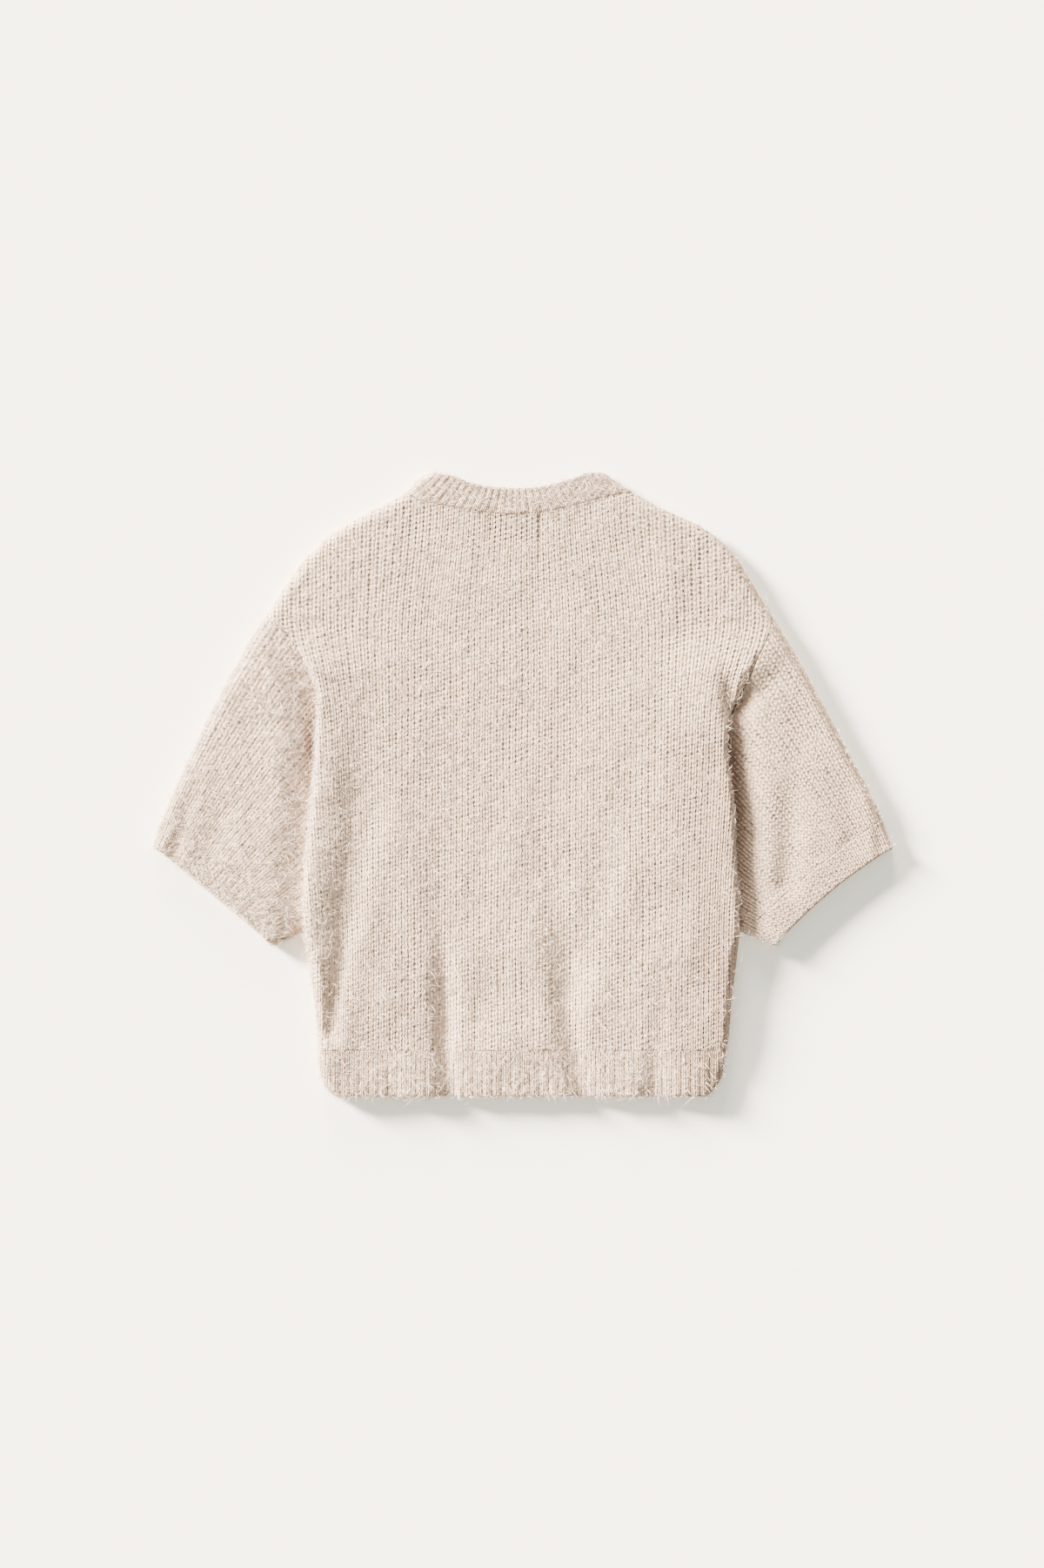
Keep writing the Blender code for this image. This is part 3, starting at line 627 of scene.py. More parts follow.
# ---- Materials
# Brushed yarn: slanting stitch legs, holes between them with painted shade, fine nap, and a soft
# sheen. The hairs are of the same yarn, but paler.
class Value:
    """A number inside a shader, so that a sum can be written out."""

    def __init__(self, tree, socket):
        self.tree = tree
        self.socket = socket

    def made(self, operation, *others):
        made = add_node(self.tree, "Math", {"operation": operation}, enumerate((self, *others)))
        return Value(self.tree, made.outputs[0])

    def __add__(self, other):
        return self.made("ADD", other)

    def __sub__(self, other):
        return self.made("SUBTRACT", other)

    def __mul__(self, other):
        return self.made("MULTIPLY", other)

    def __pow__(self, other):
        return self.made("POWER", other)

    def __rsub__(self, other):
        return (self * -1.0) + other

    def clamped(self):
        return self.made("MAXIMUM", 0.0).made("MINIMUM", 1.0)


def add_node(tree, kind, settings=(), sockets=()):
    """A new node, by its type. Its settings are set first, then its sockets' values or links."""
    made = tree.nodes.new("ShaderNode" + kind)
    for key, value in dict(settings).items():
        setattr(made, key, value)
    for key, value in dict(sockets).items():
        if isinstance(value, Value):
            value = value.socket
        if isinstance(value, bpy.types.NodeSocket):
            tree.links.new(value, made.inputs[key])
        else:
            made.inputs[key].default_value = value
    return made


def attribute(tree, name, output):
    return add_node(tree, "Attribute", {"attribute_name": name}).outputs[output]


def noise(tree, scale, detail, stretch=None):
    """Soft noise from 0 to 1 in the object's own space, in metres."""
    vector = add_node(tree, "TexCoord").outputs["Object"]
    if stretch:
        vector = add_node(tree, "Mapping", sockets={"Vector": vector, "Scale": stretch}).outputs[0]
    made = add_node(tree, "TexNoise", sockets={"Scale": scale, "Detail": detail, "Vector": vector})
    return Value(tree, made.outputs["Fac"])


MIX_FIRST, MIX_SECOND, MIX_RESULT = 6, 7, 2  # the colour sockets of a Mix node


def mixed(tree, factor, first, second):
    """A colour between two."""
    made = add_node(tree, "Mix", {"data_type": "RGBA"},
                    {"Factor": factor, MIX_FIRST: first, MIX_SECOND: second})
    return made.outputs[MIX_RESULT]


def tinted(name, drift, first, second, inputs):
    """A material whose colour drifts between two. Drift has the noise's scale, detail, stretch."""
    made, tree, principled = shader(name, inputs)
    tree.links.new(mixed(tree, noise(tree, *drift), first, second), principled.inputs["Base Color"])
    return made


LIGHT_YARN = (0.64, 0.455, 0.31, 1.0)
DARK_YARN = (0.46, 0.305, 0.195, 1.0)
# The colour of painted shade in crevices, valleys and on the shaded side, and of the neck seam's
# stitching
PAINTED_SHADE_COLOUR = (0.06, 0.028, 0.016, 1.0)
# The colour of the painted shade in the holes between stitches
HOLE_SHADE_COLOUR = (0.15, 0.095, 0.07, 1.0)


def knit_material(name, ribbed):
    """Brushed knit. The stitch attribute has wales, courses and how open the knit is."""
    made, tree, principled = shader(name, {
        "Roughness": 0.92, "Specular IOR Level": 0.15, "Sheen Weight": 0.2,
        "Sheen Roughness": 0.5, "Sheen Tint": (1.0, 0.92, 0.84, 1.0)})
    parts = add_node(tree, "SeparateXYZ", sockets={"Vector": attribute(tree, "stitch", "Vector")})
    u, v, open_ = (Value(tree, part) for part in parts.outputs)
    u = u + noise(tree, 340.0, 1.0) * 0.24 - 0.12
    v = v + (u.made("FLOOR") * STEP).made("FRACT") + noise(tree, 300.0, 1.0) * 0.5
    a = (u.made("FRACT") * 2.0 - 1.0).made("ABSOLUTE")
    # Painted shade in the rib's grooves
    groove = ((1.0 - a) ** 3.0) * 0.3
    if ribbed:
        a = ((1.0 - a) * 1.6).clamped()
    leg = (a * math.pi).made("SINE")
    along = ((v - a * 0.4) * (2 * math.pi)).made("COSINE") * 0.5 + 0.5
    turned = (v * (2 * math.pi)).made("COSINE") * 0.5 + 0.5
    hole = ((1.0 - a) ** 1.5) * turned
    # dark is a dip in the bump, and painted shade in holes, gaps between wales and rib grooves
    if ribbed:
        dark = groove + hole * 0.4
    else:
        dark = hole * (open_ * 1.35 + 0.3) + (a ** 5.0) * 0.09
    fibre = noise(tree, 1400.0, 3.0)
    fluff = noise(tree, 430.0, 4.0)
    nap = noise(tree, 700.0, 3.0, stretch=(1.0, 0.3, 1.0))
    height = leg * (along * 0.45 + 0.4) - dark + fluff * 0.7 + fibre * 0.3 + nap * 0.5
    bump = add_node(tree, "Bump", sockets={"Strength": 1.0, "Distance": MM, "Height": height})
    tree.links.new(bump.outputs["Normal"], principled.inputs["Normal"])
    patch = noise(tree, 22.0, 3.0)
    shade = (1.0 - leg * along) * 0.4 + patch * 0.35 + fluff * 0.7 + nap * 0.3 - 0.56
    # The shade attribute: painted shade above 0 and painted light below 0, with the neck seam's
    # stitching
    painted_shade = Value(tree, attribute(tree, "shade", "Fac"))
    yarn = mixed(tree, (shade + painted_shade).clamped(), LIGHT_YARN, DARK_YARN)
    # Painted shade: at its strongest the yarn is mixed to the painted shade colour
    yarn = mixed(tree, painted_shade.clamped(), yarn, PAINTED_SHADE_COLOUR)
    # Painted shade: holes, gaps and grooves are mixed towards the holes' shade colour
    colour = mixed(tree, (dark * 0.8).clamped(), yarn, HOLE_SHADE_COLOUR)
    tree.links.new(colour, principled.inputs["Base Color"])
    return made


KNIT = knit_material("brushed_knit", False)
RIBBED = knit_material("brushed_rib", True)

hair_material = tinted("yarn_hair", (60.0, 2.0), (0.80, 0.635, 0.49, 1.0),
                       (0.64, 0.49, 0.37, 1.0), {"Roughness": 0.7, "Sheen Weight": 0.3})


# ---- Loose hairs
# Brushing raises fine hairs from the yarn all over. Each is a closed tapered strand of three sides.
# The long ones are bent, and the short ones of the nap are straight.
LONG_HAIR = [(2, 1, 0), (0, 1, 4, 3), (1, 2, 5, 4), (2, 0, 3, 5), (3, 4, 6), (4, 5, 6), (5, 3, 6)]
SHORT_HAIR = [(2, 1, 0), (0, 1, 3), (1, 2, 3), (2, 0, 3)]
AT_ROOT, AT_BEND, NAP = 0.20, 0.15, 0.16  # how thick a strand is, from its middle


def read(items, key, size, kind=float):
    """A value of each item of a mesh."""
    values = np.zeros(len(items) * size, kind)
    items.foreach_get(key, values)
    return values.reshape(-1, size)


def unit(rows):
    return rows / np.linalg.norm(rows, axis=1, keepdims=True)


def hairs(name, source, bent, straight, seed, slot="knit"):
    """Hairs on the outside of a piece. They lie low and stay above the floor. Most stand on its
    sloping parts. Few stand where the shade attribute paints shade, and more where it paints light."""
    rng = np.random.default_rng(seed)
    count = bent + straight
    mesh = source.data
    mesh.calc_loop_triangles()
    points = read(mesh.vertices, "co", 3) / MM
    corners = read(mesh.loop_triangles, "vertices", 3, np.int32)
    on_face = read(mesh.loop_triangles, "polygon_index", 1, np.int32)[:, 0]
    shade = read(mesh.attributes["shade"].data, "value", 1)[corners[:, 0], 0]
    a, b, c = (points[corners[:, i]] for i in range(3))
    normal = np.cross(b - a, c - a)
    size = np.linalg.norm(normal, axis=1)
    normal /= np.maximum(size, 1e-9)[:, None]
    weight = size * np.where(normal[:, 2] > -0.1, 1.0 + 11.0 * (1.0 - normal[:, 2]) ** 2, 0.0)
    weight = weight * np.clip(1.2 - 2.4 * shade, 0.0, 3.0)
    weight = np.where((a[:, 2] > 3.0) & (on_face < outer_faces[source.name]), weight, 0.0)
    chosen = rng.choice(len(size), count, p=weight / weight.sum())
    u, v = rng.random((2, count, 1))
    u, v = np.where(u + v > 1, 1 - u, u), np.where(u + v > 1, 1 - v, v)
    up = normal[chosen]
    root = a[chosen] + u * (b - a)[chosen] + v * (c - a)[chosen] - up * 0.4
    way = rng.normal(size=(count, 3))
    way = unit(way - up * (way * up).sum(1, keepdims=True))
    is_bent = np.arange(count)[:, None] < bent
    rise = np.radians(rng.uniform(8.0, 48.0, (count, 1)))
    long = np.where(is_bent, np.minimum(rng.gamma(4.0, 1.7, (count, 1)) + 2.0, 17.0),
                    rng.uniform(2.0, 5.5, (count, 1)))
    first = way * np.cos(rise) + up * np.sin(rise)
    bend = rng.normal(scale=0.35, size=(count, 3))
    second = np.where(is_bent, way * np.cos(rise * 0.4) + up * np.sin(rise) * 0.1 + bend, first)
    middle = root + first * long * 0.5
    tip = middle + second * long * 0.5
    for ring in (root, middle, tip):
        ring[:, 2] = np.clip(ring[:, 2], 0.4, 25.0)
    side_way = unit(np.cross(first, up))
    other = np.cross(first, side_way)

    def ring_of(centre, thick, some):
        turns = np.radians([0.0, 120.0, 240.0])
        ways = [side_way * math.cos(turn) + other * math.sin(turn) for turn in turns]
        return [(centre + way * thick)[some] for way in ways]

    bent_ones, nap = slice(0, bent), slice(bent, count)
    strands = (ring_of(root, AT_ROOT, bent_ones) + ring_of(middle, AT_BEND, bent_ones)
               + [tip[bent_ones]], ring_of(root, NAP, nap) + [tip[nap]])
    points = np.concatenate([np.stack(strand, 1).reshape(-1, 3) for strand in strands])
    faces = [[i * 7 + k for k in face] for i in range(bent) for face in LONG_HAIR]
    faces += [[bent * 7 + i * 4 + k for k in face] for i in range(straight) for face in SHORT_HAIR]
    return piece(name, points, faces, None, hair_material, None, slot)


# ---- The back
# One panel of stockinette. Its wales stand upright, fan out from the neck and lean with the
# armholes, and its sides turn under over the sleeves. Puckers are the label's sewing, and painted
# shade darkens them.
BACK_TOP = (contour[LEFT](SHOULDER_Y), contour[RIGHT](SHOULDER_Y))
WALE_WIDTH = Through([-290, -150, -60, 0, 60, 90, 154, 290],
                     [0.84, 0.84, 0.9, 0.96, 1.0, 1.08, 1.36, 1.36])
LABEL = (-27.0, 15.0, 224.0, 249.0)  # left, right, bottom, top of the label's place
PUCKERS = [(15.0, 251.0, 15.0, 190.0, 1.6, 1.0, 0.4), (-31.0, 252.5, -30.0, 244.0, 2.5, 1.0, 0.6)]
# Painted shade in the puckers: from x, y to x, y, half width, depth at each end
PUCKER_SHADE = [(15.5, 249.0, 15.5, 205.0, 1.3, 0.4, 0.05), (-29.0, 252.0, -28.5, 243.0, 2.0, 0.4, 0.3)]
# Painted shade in the valley over the right underarm, where the back's edge turns down from the
# light
VALLEY_SHADE = [(184, 112, 190, 86, 7, 0.01, 0.07), (190, 86, 198, 62, 7, 0.07, 0.35)]


def back_top(x):
    """y of the back's upper edge: the neckband's seam, and beyond it the shoulders' fold."""
    seam = neck_seam(x) - GAP - 0.9 * np.clip(np.abs(x) / NECK_ENDS[1], 0.0, 1.0) ** 4
    shoulder = np.where(x < 0, contour_y[LEFT](np.minimum(-x, -BACK_TOP[0])),
                        contour_y[RIGHT](np.minimum(x, BACK_TOP[1])))
    return np.where((x > NECK_ENDS[0]) & (x < NECK_ENDS[1]), seam, shoulder)


def wale_out(w, y):
    """How far across the cloth a wale is, at a height y."""
    a = np.abs(w)
    far = np.maximum(a - 110.0, 0.0)
    out = a + (WALE_WIDTH(y) - 1.0) * far * far / (far + 40.0)
    fan = 0.13 * ease((y - 130.0) / 130.0) * a * np.exp(-((a / 130.0) ** 4))
    return np.sign(w) * (out - fan)


def hand_knit(u, v, seed):
    """How far stitches stray from their lattice: wales vary in width, and both lines waver."""
    rng = np.random.default_rng(seed)
    width = np.cumsum(rng.normal(scale=0.05, size=400))
    width -= np.linspace(width[0], width[-1], 400)
    across = np.interp(u, np.arange(-200, 200), width) + cloudy(u, v * 0.35, seed + 1, 9.0) * 0.10
    across = across + cells(u * 4, v * 2, seed + 2) * 0.035
    return u + across, v + cloudy(u, v, seed + 3, 8.0) * 0.22


def back_in(u, v):
    """Brings stitch coordinates in to the panel's outline, as s and y."""
    u, v = hand_knit(u, v, 50)
    free_y = HEM_SEAM + v * COURSE
    s = wale_out(u * WALE, free_y)
    for _ in range(4):
        y = np.clip(free_y, HEM_SEAM + 0.1, back_top(np.clip(s, *BACK_TOP)))
        s = np.clip(wale_out(u * WALE, y), -fitted(y, LEFT, "span"), fitted(y, RIGHT, "span"))
    return s, y, (np.abs(s - wale_out(u * WALE, y)) > TINY) | (np.abs(y - free_y) > TINY)


def spot(x, y, at_x, at_y, wide, tall):
    """1 at a place, fading away round it."""
    return np.exp(-(((x - at_x) / wide) ** 2) - ((y - at_y) / tall) ** 2)


def openness(x, y, u, v):
    """How open the knit is: most at the neck's left corner and over the label."""
    shoulders = spot(np.abs(x), y, 150.0, 205.0, 60.0, 55.0)
    corner = spot(x, y, -102.0, 243.0, 14.0, 24.0)
    upper = ease((y + 140.0) / 330.0)
    lumps = cloudy(x, y, 4, 60.0) * 0.14 + cloudy(x, y, 5, 18.0) * 0.12
    wales = cells(u, v * 0.07, 6) * 0.16 + cells(u, v, 7) * 0.22
    label = (x > LABEL[0]) & (x < LABEL[1]) & (y > LABEL[2]) & (y < LABEL[3])
    open_ = 0.40 + 0.05 * upper + 0.04 * shoulders + 0.5 * corner + 0.7 * label
    return np.clip(open_ + lumps + wales, 0.0, 1.0)


def uneven(x, y):
    """The soft lumps and small dents of cloth that was laid out by hand."""
    low = ease((60.0 - y) / 200.0)
    lumps = cloudy(x, y, 1, 70.0) * (0.3 + 0.5 * low)
    return lumps + cloudy(x, y * 0.35, 2, 34.0) * (0.2 + 0.35 * low)


def back_relief(u, v, s, y):
    """How far the back's stitches, lumps and puckers stand out, less near its seams."""
    yarn = stitch_relief(u, v, openness(s, y, u, v)) * (1.0 + 0.35 * cells(u, v, 3))
    lift = yarn * (1.0 - 0.2 * ease((y - 60.0) / 100.0)) + uneven(s, y) - folds(s, y, PUCKERS)
    above = under_body(s, y) + WALL + 0.5 - body_height(s, y)
    lift = lift + np.maximum(above - lift, 0.0) * ease((np.abs(s) - UNDERARM[0] + 6.0) / 6.0)
    lift = lift * ease((back_top(s) - y + 1.0) / 3.5)
    return lift * np.where(y > 60.0, ease((side(s, y, "span") - np.abs(s)) / 7.0), 1.0)


def back_shade(x, y, u, v):
    """Where the yarn reads darker: on the neck seam's stitching, and, as painted shade, along the
    puckers, to the right and in the valley over the right underarm. Painted light makes it paler
    at the left, and in the troughs, which lie in shadow."""
    seam = np.exp(-(((y - back_top(x)) / 1.5) ** 2)) * np.exp(-((x / 80.0) ** 4))
    # Painted shade: the body's right side and right shoulder, away from the light
    right_side_shade = 0.3 * ease((x - 110.0) / 70.0) * ease((75.0 - y) / 50.0)
    right_side_shade = right_side_shade + 0.1 * ease((x - 90.0) / 60.0) * ease((y - 105.0) / 50.0)
    # Painted light: the left side, which faces the light, and the troughs are made paler
    left_side_light = ease((-170.0 - x) / 12.0) * ease((70.0 - y) / 40.0) * ease((y + 200.0) / 60.0)
    base = 0.04 - 0.5 * left_side_light - 0.02 * folds(x, y, BODY_FOLDS[:TROUGHS])
    return base + 0.3 * seam + folds(x, y, PUCKER_SHADE) + right_side_shade + folds(x, y, VALLEY_SHADE)


back = shell(
    "back",
    panel(np.arange(-48, 48.01, 0.25), np.arange(-0.5, 122.01, 0.5), back_in, back_at, 0.0,
          back_relief),
    panel(np.arange(-48, 48.01, 4.0), np.arange(-4, 124.01, 5.0), back_in, back_at, WALL),
    openness, back_shade, KNIT, "knit")


# ---- The sleeves
# Each is a flattened tube of the same knit, with its wales down the arm. Its underside is plain.
SLEEVE_WALES = 31
SLEEVE_YARN = {LEFT: 0.55, RIGHT: 0.35}  # how high its stitches stand
SLEEVE_SIDE_SHADE = {LEFT: -0.15, RIGHT: 0.13}  # painted shade on each sleeve; below 0, painted light
# The painted shadow in each crevice beside the body: y of its darkest place, its reach up and
# down, how dark, how far out
CREVICE_SHADOW = {LEFT: (42.0, 34.0, 40.0, 1.0, 5.0), RIGHT: (18.0, 50.0, 130.0, 0.72, 5.0)}


def round_tube(u, wales):
    """How far round a flattened tube a wale is: 0 to 1 over its top, and on to 2 below."""
    return np.where(u > wales, 1.0 + (u - wales) / wales, u / wales)


def sleeve_in(hand):
    """Brings stitch coordinates of a sleeve in between the cuff and the armhole."""
    def bring_in(u, v):
        top = np.clip(np.minimum(u, SLEEVE_WALES - u) / 2.0, 0.0, 1.0)
        stray_u, stray_v = hand_knit(u, v, 60 + hand)
        q = round_tube(mix(u, stray_u, top), SLEEVE_WALES)
        free = mix(v, stray_v, top) * COURSE
        down = np.clip(free, CUFF + 0.1, sleeve_long(np.where(q > 1.0, 2.0 - q, q), hand))
        return q, down, np.abs(down - free) > TINY
    return bring_in


def sleeve_open(x, y, u, v):
    """How open a sleeve's knit is. Its nap is thicker than the body's."""
    lumps = cloudy(x, y, 14, 50.0) * 0.16 + cloudy(x, y, 15, 20.0) * 0.12
    wales = cells(u, v * 0.07, 16) * 0.12
    return np.clip(np.where(x < 0, 0.36, 0.25) + lumps + wales + cells(u, v, 17) * 0.2, 0.0, 1.0)


def sleeve_shade(hand):
    """Painted shade on a sleeve, with a painted shadow in the crevice beside the body."""
    middle, up, down, dark, out = CREVICE_SHADOW[hand]

    def shade(x, y, u, v):
        away = np.maximum(beside_body(x, y, hand), 0.0)
        band = np.exp(-(((away - out) / 8.0) ** 2))
        along = np.exp(-(((y - middle) / np.where(y > middle, up, down)) ** 2))
        return SLEEVE_SIDE_SHADE[hand] + dark * band * along
    return shade


def sleeve_relief(hand):
    """How far a sleeve stands out. The right one fills the dip over its underarm."""
    def relief(u, v, q, down):
        across = np.minimum(q, 2.0 - q)
        long = sleeve_long(across, hand)
        x, y = sleeve_plan(1.0 - down / long, across, hand, 0.0)
        yarn = stitch_relief(u, v, sleeve_open(x, y, u, v)) * (1.0 + 0.35 * cells(u, v, 13))
        yarn = yarn * SLEEVE_YARN[hand] * ease((long - down) / 7.0)
        level = ease((down - CUFF) / 10.0)
        fill = 2.2 * (hand == RIGHT) * spot(x, y, 211.0, 95.0, 12.0, 18.0)
        return yarn * (0.4 + 0.6 * level) + cloudy(x, y, 11, 55.0) * 0.5 * level + fill
    return relief


def around(fine, wales):
    """Columns round a sleeve: fine over the top, and coarse underneath."""
    top = np.concatenate([[0.0, 0.12, 0.3], np.arange(0.5, wales - 0.4, fine),
                          [wales - 0.3, wales - 0.12, wales]])
    below = wales + np.concatenate([[0.1, 0.3, 0.7], np.linspace(1.5, wales - 1.5, 14),
                                    [wales - 0.7, wales - 0.3, wales - 0.1]])
    return np.concatenate([top, below])


sleeves = {}
for hand, name in HANDS:
    def at(q, down, depth, lift, hand=hand):
        return sleeve_at(q, down, hand, depth, lift)

    sleeves[hand] = shell(
        "sleeve_" + name,
        panel(around(0.25, SLEEVE_WALES), np.arange(6.0, 63.01, 1 / 3), sleeve_in(hand), at, 0.0,
              sleeve_relief(hand), ring=True),
        panel(around(3.0, SLEEVE_WALES), np.arange(4.0, 65.0, 4.0), sleeve_in(hand), at, WALL,
              ring=True),
        sleeve_open, sleeve_shade(hand), KNIT, "knit", rings=2)


# ---- The ribs: cuffs, hem and neckband
# Ribbed knit of the same yarn. Its ridges stand over narrow grooves, and its free edges are round.
RIB = 0.6
CUFF_COURSES = CUFF / COURSE
HEM_COURSES = (HEM_SEAM - HEM_END) / COURSE
NECK_COURSES = NECKBAND / COURSE
CUFF_WALES = {LEFT: 38, RIGHT: 31}
CUFF_RIBS = {LEFT: (0.8, 0.5), RIGHT: (0.2, 0.35)}  # size of ribs and of yarn: soft on the right
NECK_WALES = 54
HEM_RIB = 8.7  # width of a rib of the hem, which is two wales


def ridge(u):
    """1 on the wales that stand out, and 0 between them."""
    return np.abs(np.cos(math.pi * (u - 0.5) / 2)) ** 0.8


def rib_relief(u, v, size, yarn):
    """Height of ribs and their stitches. v counts the courses."""
    return RIB * size * ridge(u) * (1.0 + 0.2 * cells(u, v, 23)) + yarn * stitch_relief(u, v, 0.45)


def edge_round(distance, depth, lift):
    """Rounds a free edge: near it both faces of the cloth come together."""
    t = 0.12 + 0.88 * rounded(distance, 2.4)
    return WALL / 2 + (depth - WALL / 2) * t, lift * t


def rib_open(x, y, u, v):
    low = np.where(y > 200.0, 0.1, np.where(x > 185.0, 0.3, 0.45))
    return np.clip(low + cells(u, v, 24) * 0.25, 0.0, 1.0)


def rib_shade(x, y, u, v):
    """Painted shade in the narrow grooves between ribs, most on the neckband."""
    neck = 0.04 + 0.2 * ease((x + 30.0) / 90.0)
    cuff = np.where(x > 0, 0.0, 0.10)
    return (1.0 - ridge(u)) * np.where(y > 200.0, neck, np.where(y < -200.0, 0.14, cuff))


def rib_rows(courses, first, start):
    """Rows of a rib, counted in courses from its seam. They close up at its free edge."""
    return np.concatenate([[0.0, first], np.arange(start, courses - 0.6, 0.33),
                           courses - np.array([0.5, 0.3, 0.14, 0.05, 0.0])])


def cuff_relief(hand):
    return lambda u, v, q, down: rib_relief(u, v, *CUFF_RIBS[hand]) * np.where(q < 1.0, 1.0, 0.0)


def cuff_shade(hand):
    """Painted shade of a cuff, with a painted shadow inside its mouth, a little behind the edge of
    its lower layer.
    """
    def shade(x, y, u, v):
        mouth_shadow = 0.9 * ease((v - 0.4) / 0.4) * (u > CUFF_WALES[hand])
        # On the right, painted shade along the seam with the sleeve darkens a line that the light
        # picks out
        seam = 0.2 * (hand == RIGHT) * np.exp(-(((v - CUFF_COURSES) / 0.4) ** 2))
        return rib_shade(x, y, u, v) + mouth_shadow + seam + SLEEVE_SIDE_SHADE[hand]
    return shade


CUFF_ROWS = np.concatenate([[0.0, 0.05, 0.14, 0.3, 0.55], np.arange(0.8, 6.3, 0.33),
                            [CUFF_COURSES]])
for hand, name in HANDS:
    def at(q, down, depth, lift, hand=hand):
        depth, lift = edge_round(down, depth, lift)
        return sleeve_at(q, down, hand, depth, lift)

    def bring(u, v, hand=hand):
        down = np.clip(v * COURSE, 0.0, CUFF)
        return round_tube(u, CUFF_WALES[hand]), down, np.abs(down - v * COURSE) > TINY

    sleeves[hand, "cuff"] = shell(
        "cuff_" + name,
        panel(around(0.25, CUFF_WALES[hand]), CUFF_ROWS, bring, at, 0.0, cuff_relief(hand),
              ring=True),
        panel(around(4.0, CUFF_WALES[hand]), np.array([0.0, 0.4, 0.8, 3.0, CUFF_COURSES]), bring,
              at, WALL, ring=True),
        rib_open, cuff_shade(hand), KNIT, "rib", rings=2)


def hem_in(u, v):
    y = np.clip(HEM_SEAM - v * COURSE, HEM_END, HEM_SEAM)
    s = u * HEM_RIB / 2
    span = side(s, y, "span")
    held = np.clip(s, -span, span)
    return held, y, (np.abs(held - s) > TINY) | (np.abs(y - HEM_SEAM + v * COURSE) > TINY)


def hem_at(s, y, depth, lift):
    depth, lift = edge_round(y - HEM_END, depth, lift)
    return back_at(s, y, depth, lift)


def hem_relief(u, v, s, y):
    return rib_relief(u, v, 1.2 * ease(v / 7.0), 1.0 - 0.5 * ease(v / 5.0)) + uneven(s, y)


def hem_shade(x, y, u, v):
    return back_shade(x, y, u, v) + rib_shade(x, y, u, v) * ease(v / 6.0)


hem = shell(
    "hem_back",
    panel(np.arange(-54, 54.01, 0.25), rib_rows(HEM_COURSES, 0.2, 0.5)[::-1], hem_in, hem_at, 0.0,
          hem_relief),
    panel(np.arange(-54, 54.01, 2.0), np.array([0.0, 3.0, 6.0, HEM_COURSES])[::-1], hem_in, hem_at,
          WALL),
    rib_open, hem_shade, KNIT, "rib")


def neckband_in(u, v):
    return u / NECK_WALES, np.clip(v * COURSE / NECKBAND, 0.0, 1.0), np.zeros(u.shape, bool)


def neckband_at(t, up, depth, lift):
    """Points of the neckband's back, between the neck seam and its free edge."""
    seam_x, edge_x = mix(*NECK_ENDS, t), mix(NECK_EDGE[0][0], NECK_EDGE[-1][0], t)
    x = mix(seam_x, edge_x, up)
    y = neck_seam(seam_x) * (1 - up) + neck_edge(edge_x) * up
    x = np.where(t < TINY, contour[LEFT](np.minimum(y, OUTLINE_TOP)), x)
    x = np.where(t > 1 - TINY, contour[RIGHT](np.minimum(y, OUTLINE_TOP)), x)
    depth, lift = edge_round((1.0 - up) * NECKBAND, depth, lift)
    edge, way_x, way_y = contour_edge(x, y)
    lean = lean_in(depth, edge, TOP_ROLL)
    z = body_height(x, y) - depth + lift
    return x + way_x * lean, y + way_y * lean, mix(FOLD_LEVEL, z, rounded(edge, TOP_ROLL))


def neckband_relief(u, v, t, up):
    return rib_relief(u, v, 1.1, 0.25) * ease(v / 0.5)


def neckband_shade(x, y, u, v):
    return back_shade(x, y, u, v) + rib_shade(x, y, u, v)


neckband = shell(
    "neckband_back",
    panel(np.arange(0, NECK_WALES + 0.01, 0.25), rib_rows(NECK_COURSES, 0.12, 0.35), neckband_in,
          neckband_at, 0.0, neckband_relief),
    panel(np.arange(0, NECK_WALES + 0.01, 2.0), np.array([0.0, 1.5, 3.5, NECK_COURSES]),
          neckband_in, neckband_at, WALL),
    rib_open, neckband_shade, KNIT, "rib")


# ---- The fronts, their hems, and the neckband's front halves
# They lie face down on the floor, so they are flat there, and the knit is in their material. Each
# is a wall between two faces of the same grid.
def wall(name, place, rows, columns, thick, material, slot, sizes=(1.0, 1.0)):
    """A closed wall over a grid of shares. Place gives its points for a depth from 0 to thick, and
    sizes are its stitches' own."""
    t, up = np.meshgrid(np.linspace(0.0, 1.0, columns), np.linspace(0.0, 1.0, rows))
    points = np.concatenate([np.stack(place(t, up, depth), -1).reshape(-1, 3)
                             for depth in (0.0, thick)])
    count = rows * columns
    index = np.arange(count).reshape(rows, columns)
    under = quads_of(index)[:, [0, 3, 2, 1]]
    loop = np.concatenate([index[0, :-1], index[:-1, -1], index[-1, :0:-1], index[:0:-1, 0]])
    after = np.roll(loop, -1)
    edges = np.stack([loop, after, after + count, loop + count], -1)
    faces = np.concatenate([under, under[:, ::-1] + count, edges]).tolist()
    stitch = np.column_stack([points[:, 0] / sizes[0], points[:, 1] / sizes[1],
                              np.full(len(points), 0.35), np.zeros(len(points))])
    return piece(name + "_piece", points, faces, stitch, material, name, slot)


NECK_PART = 0.45  # the share of a front's top that is neck seam
LOW_PART = 0.45  # the share of its rows that lie below the middle of its height
NECK_NARROWS = {LEFT: 1.0, RIGHT: 0.93}


def front_neck(angle, out, hand):
    """The front neck seam at an angle from the band, moved out into the neckband."""
    wide = NECK_OUT[hand] - BAND - GAP
    deep = NECK_TOP - FRONT_NECK
    x = BAND + GAP + (wide - out * NECK_NARROWS[hand]) * np.sin(angle)
    y = NECK_TOP - (deep - out) * np.cos(angle) + 17.5 * out / NECKBAND * np.sin(angle) ** 2
    return hand * x, y


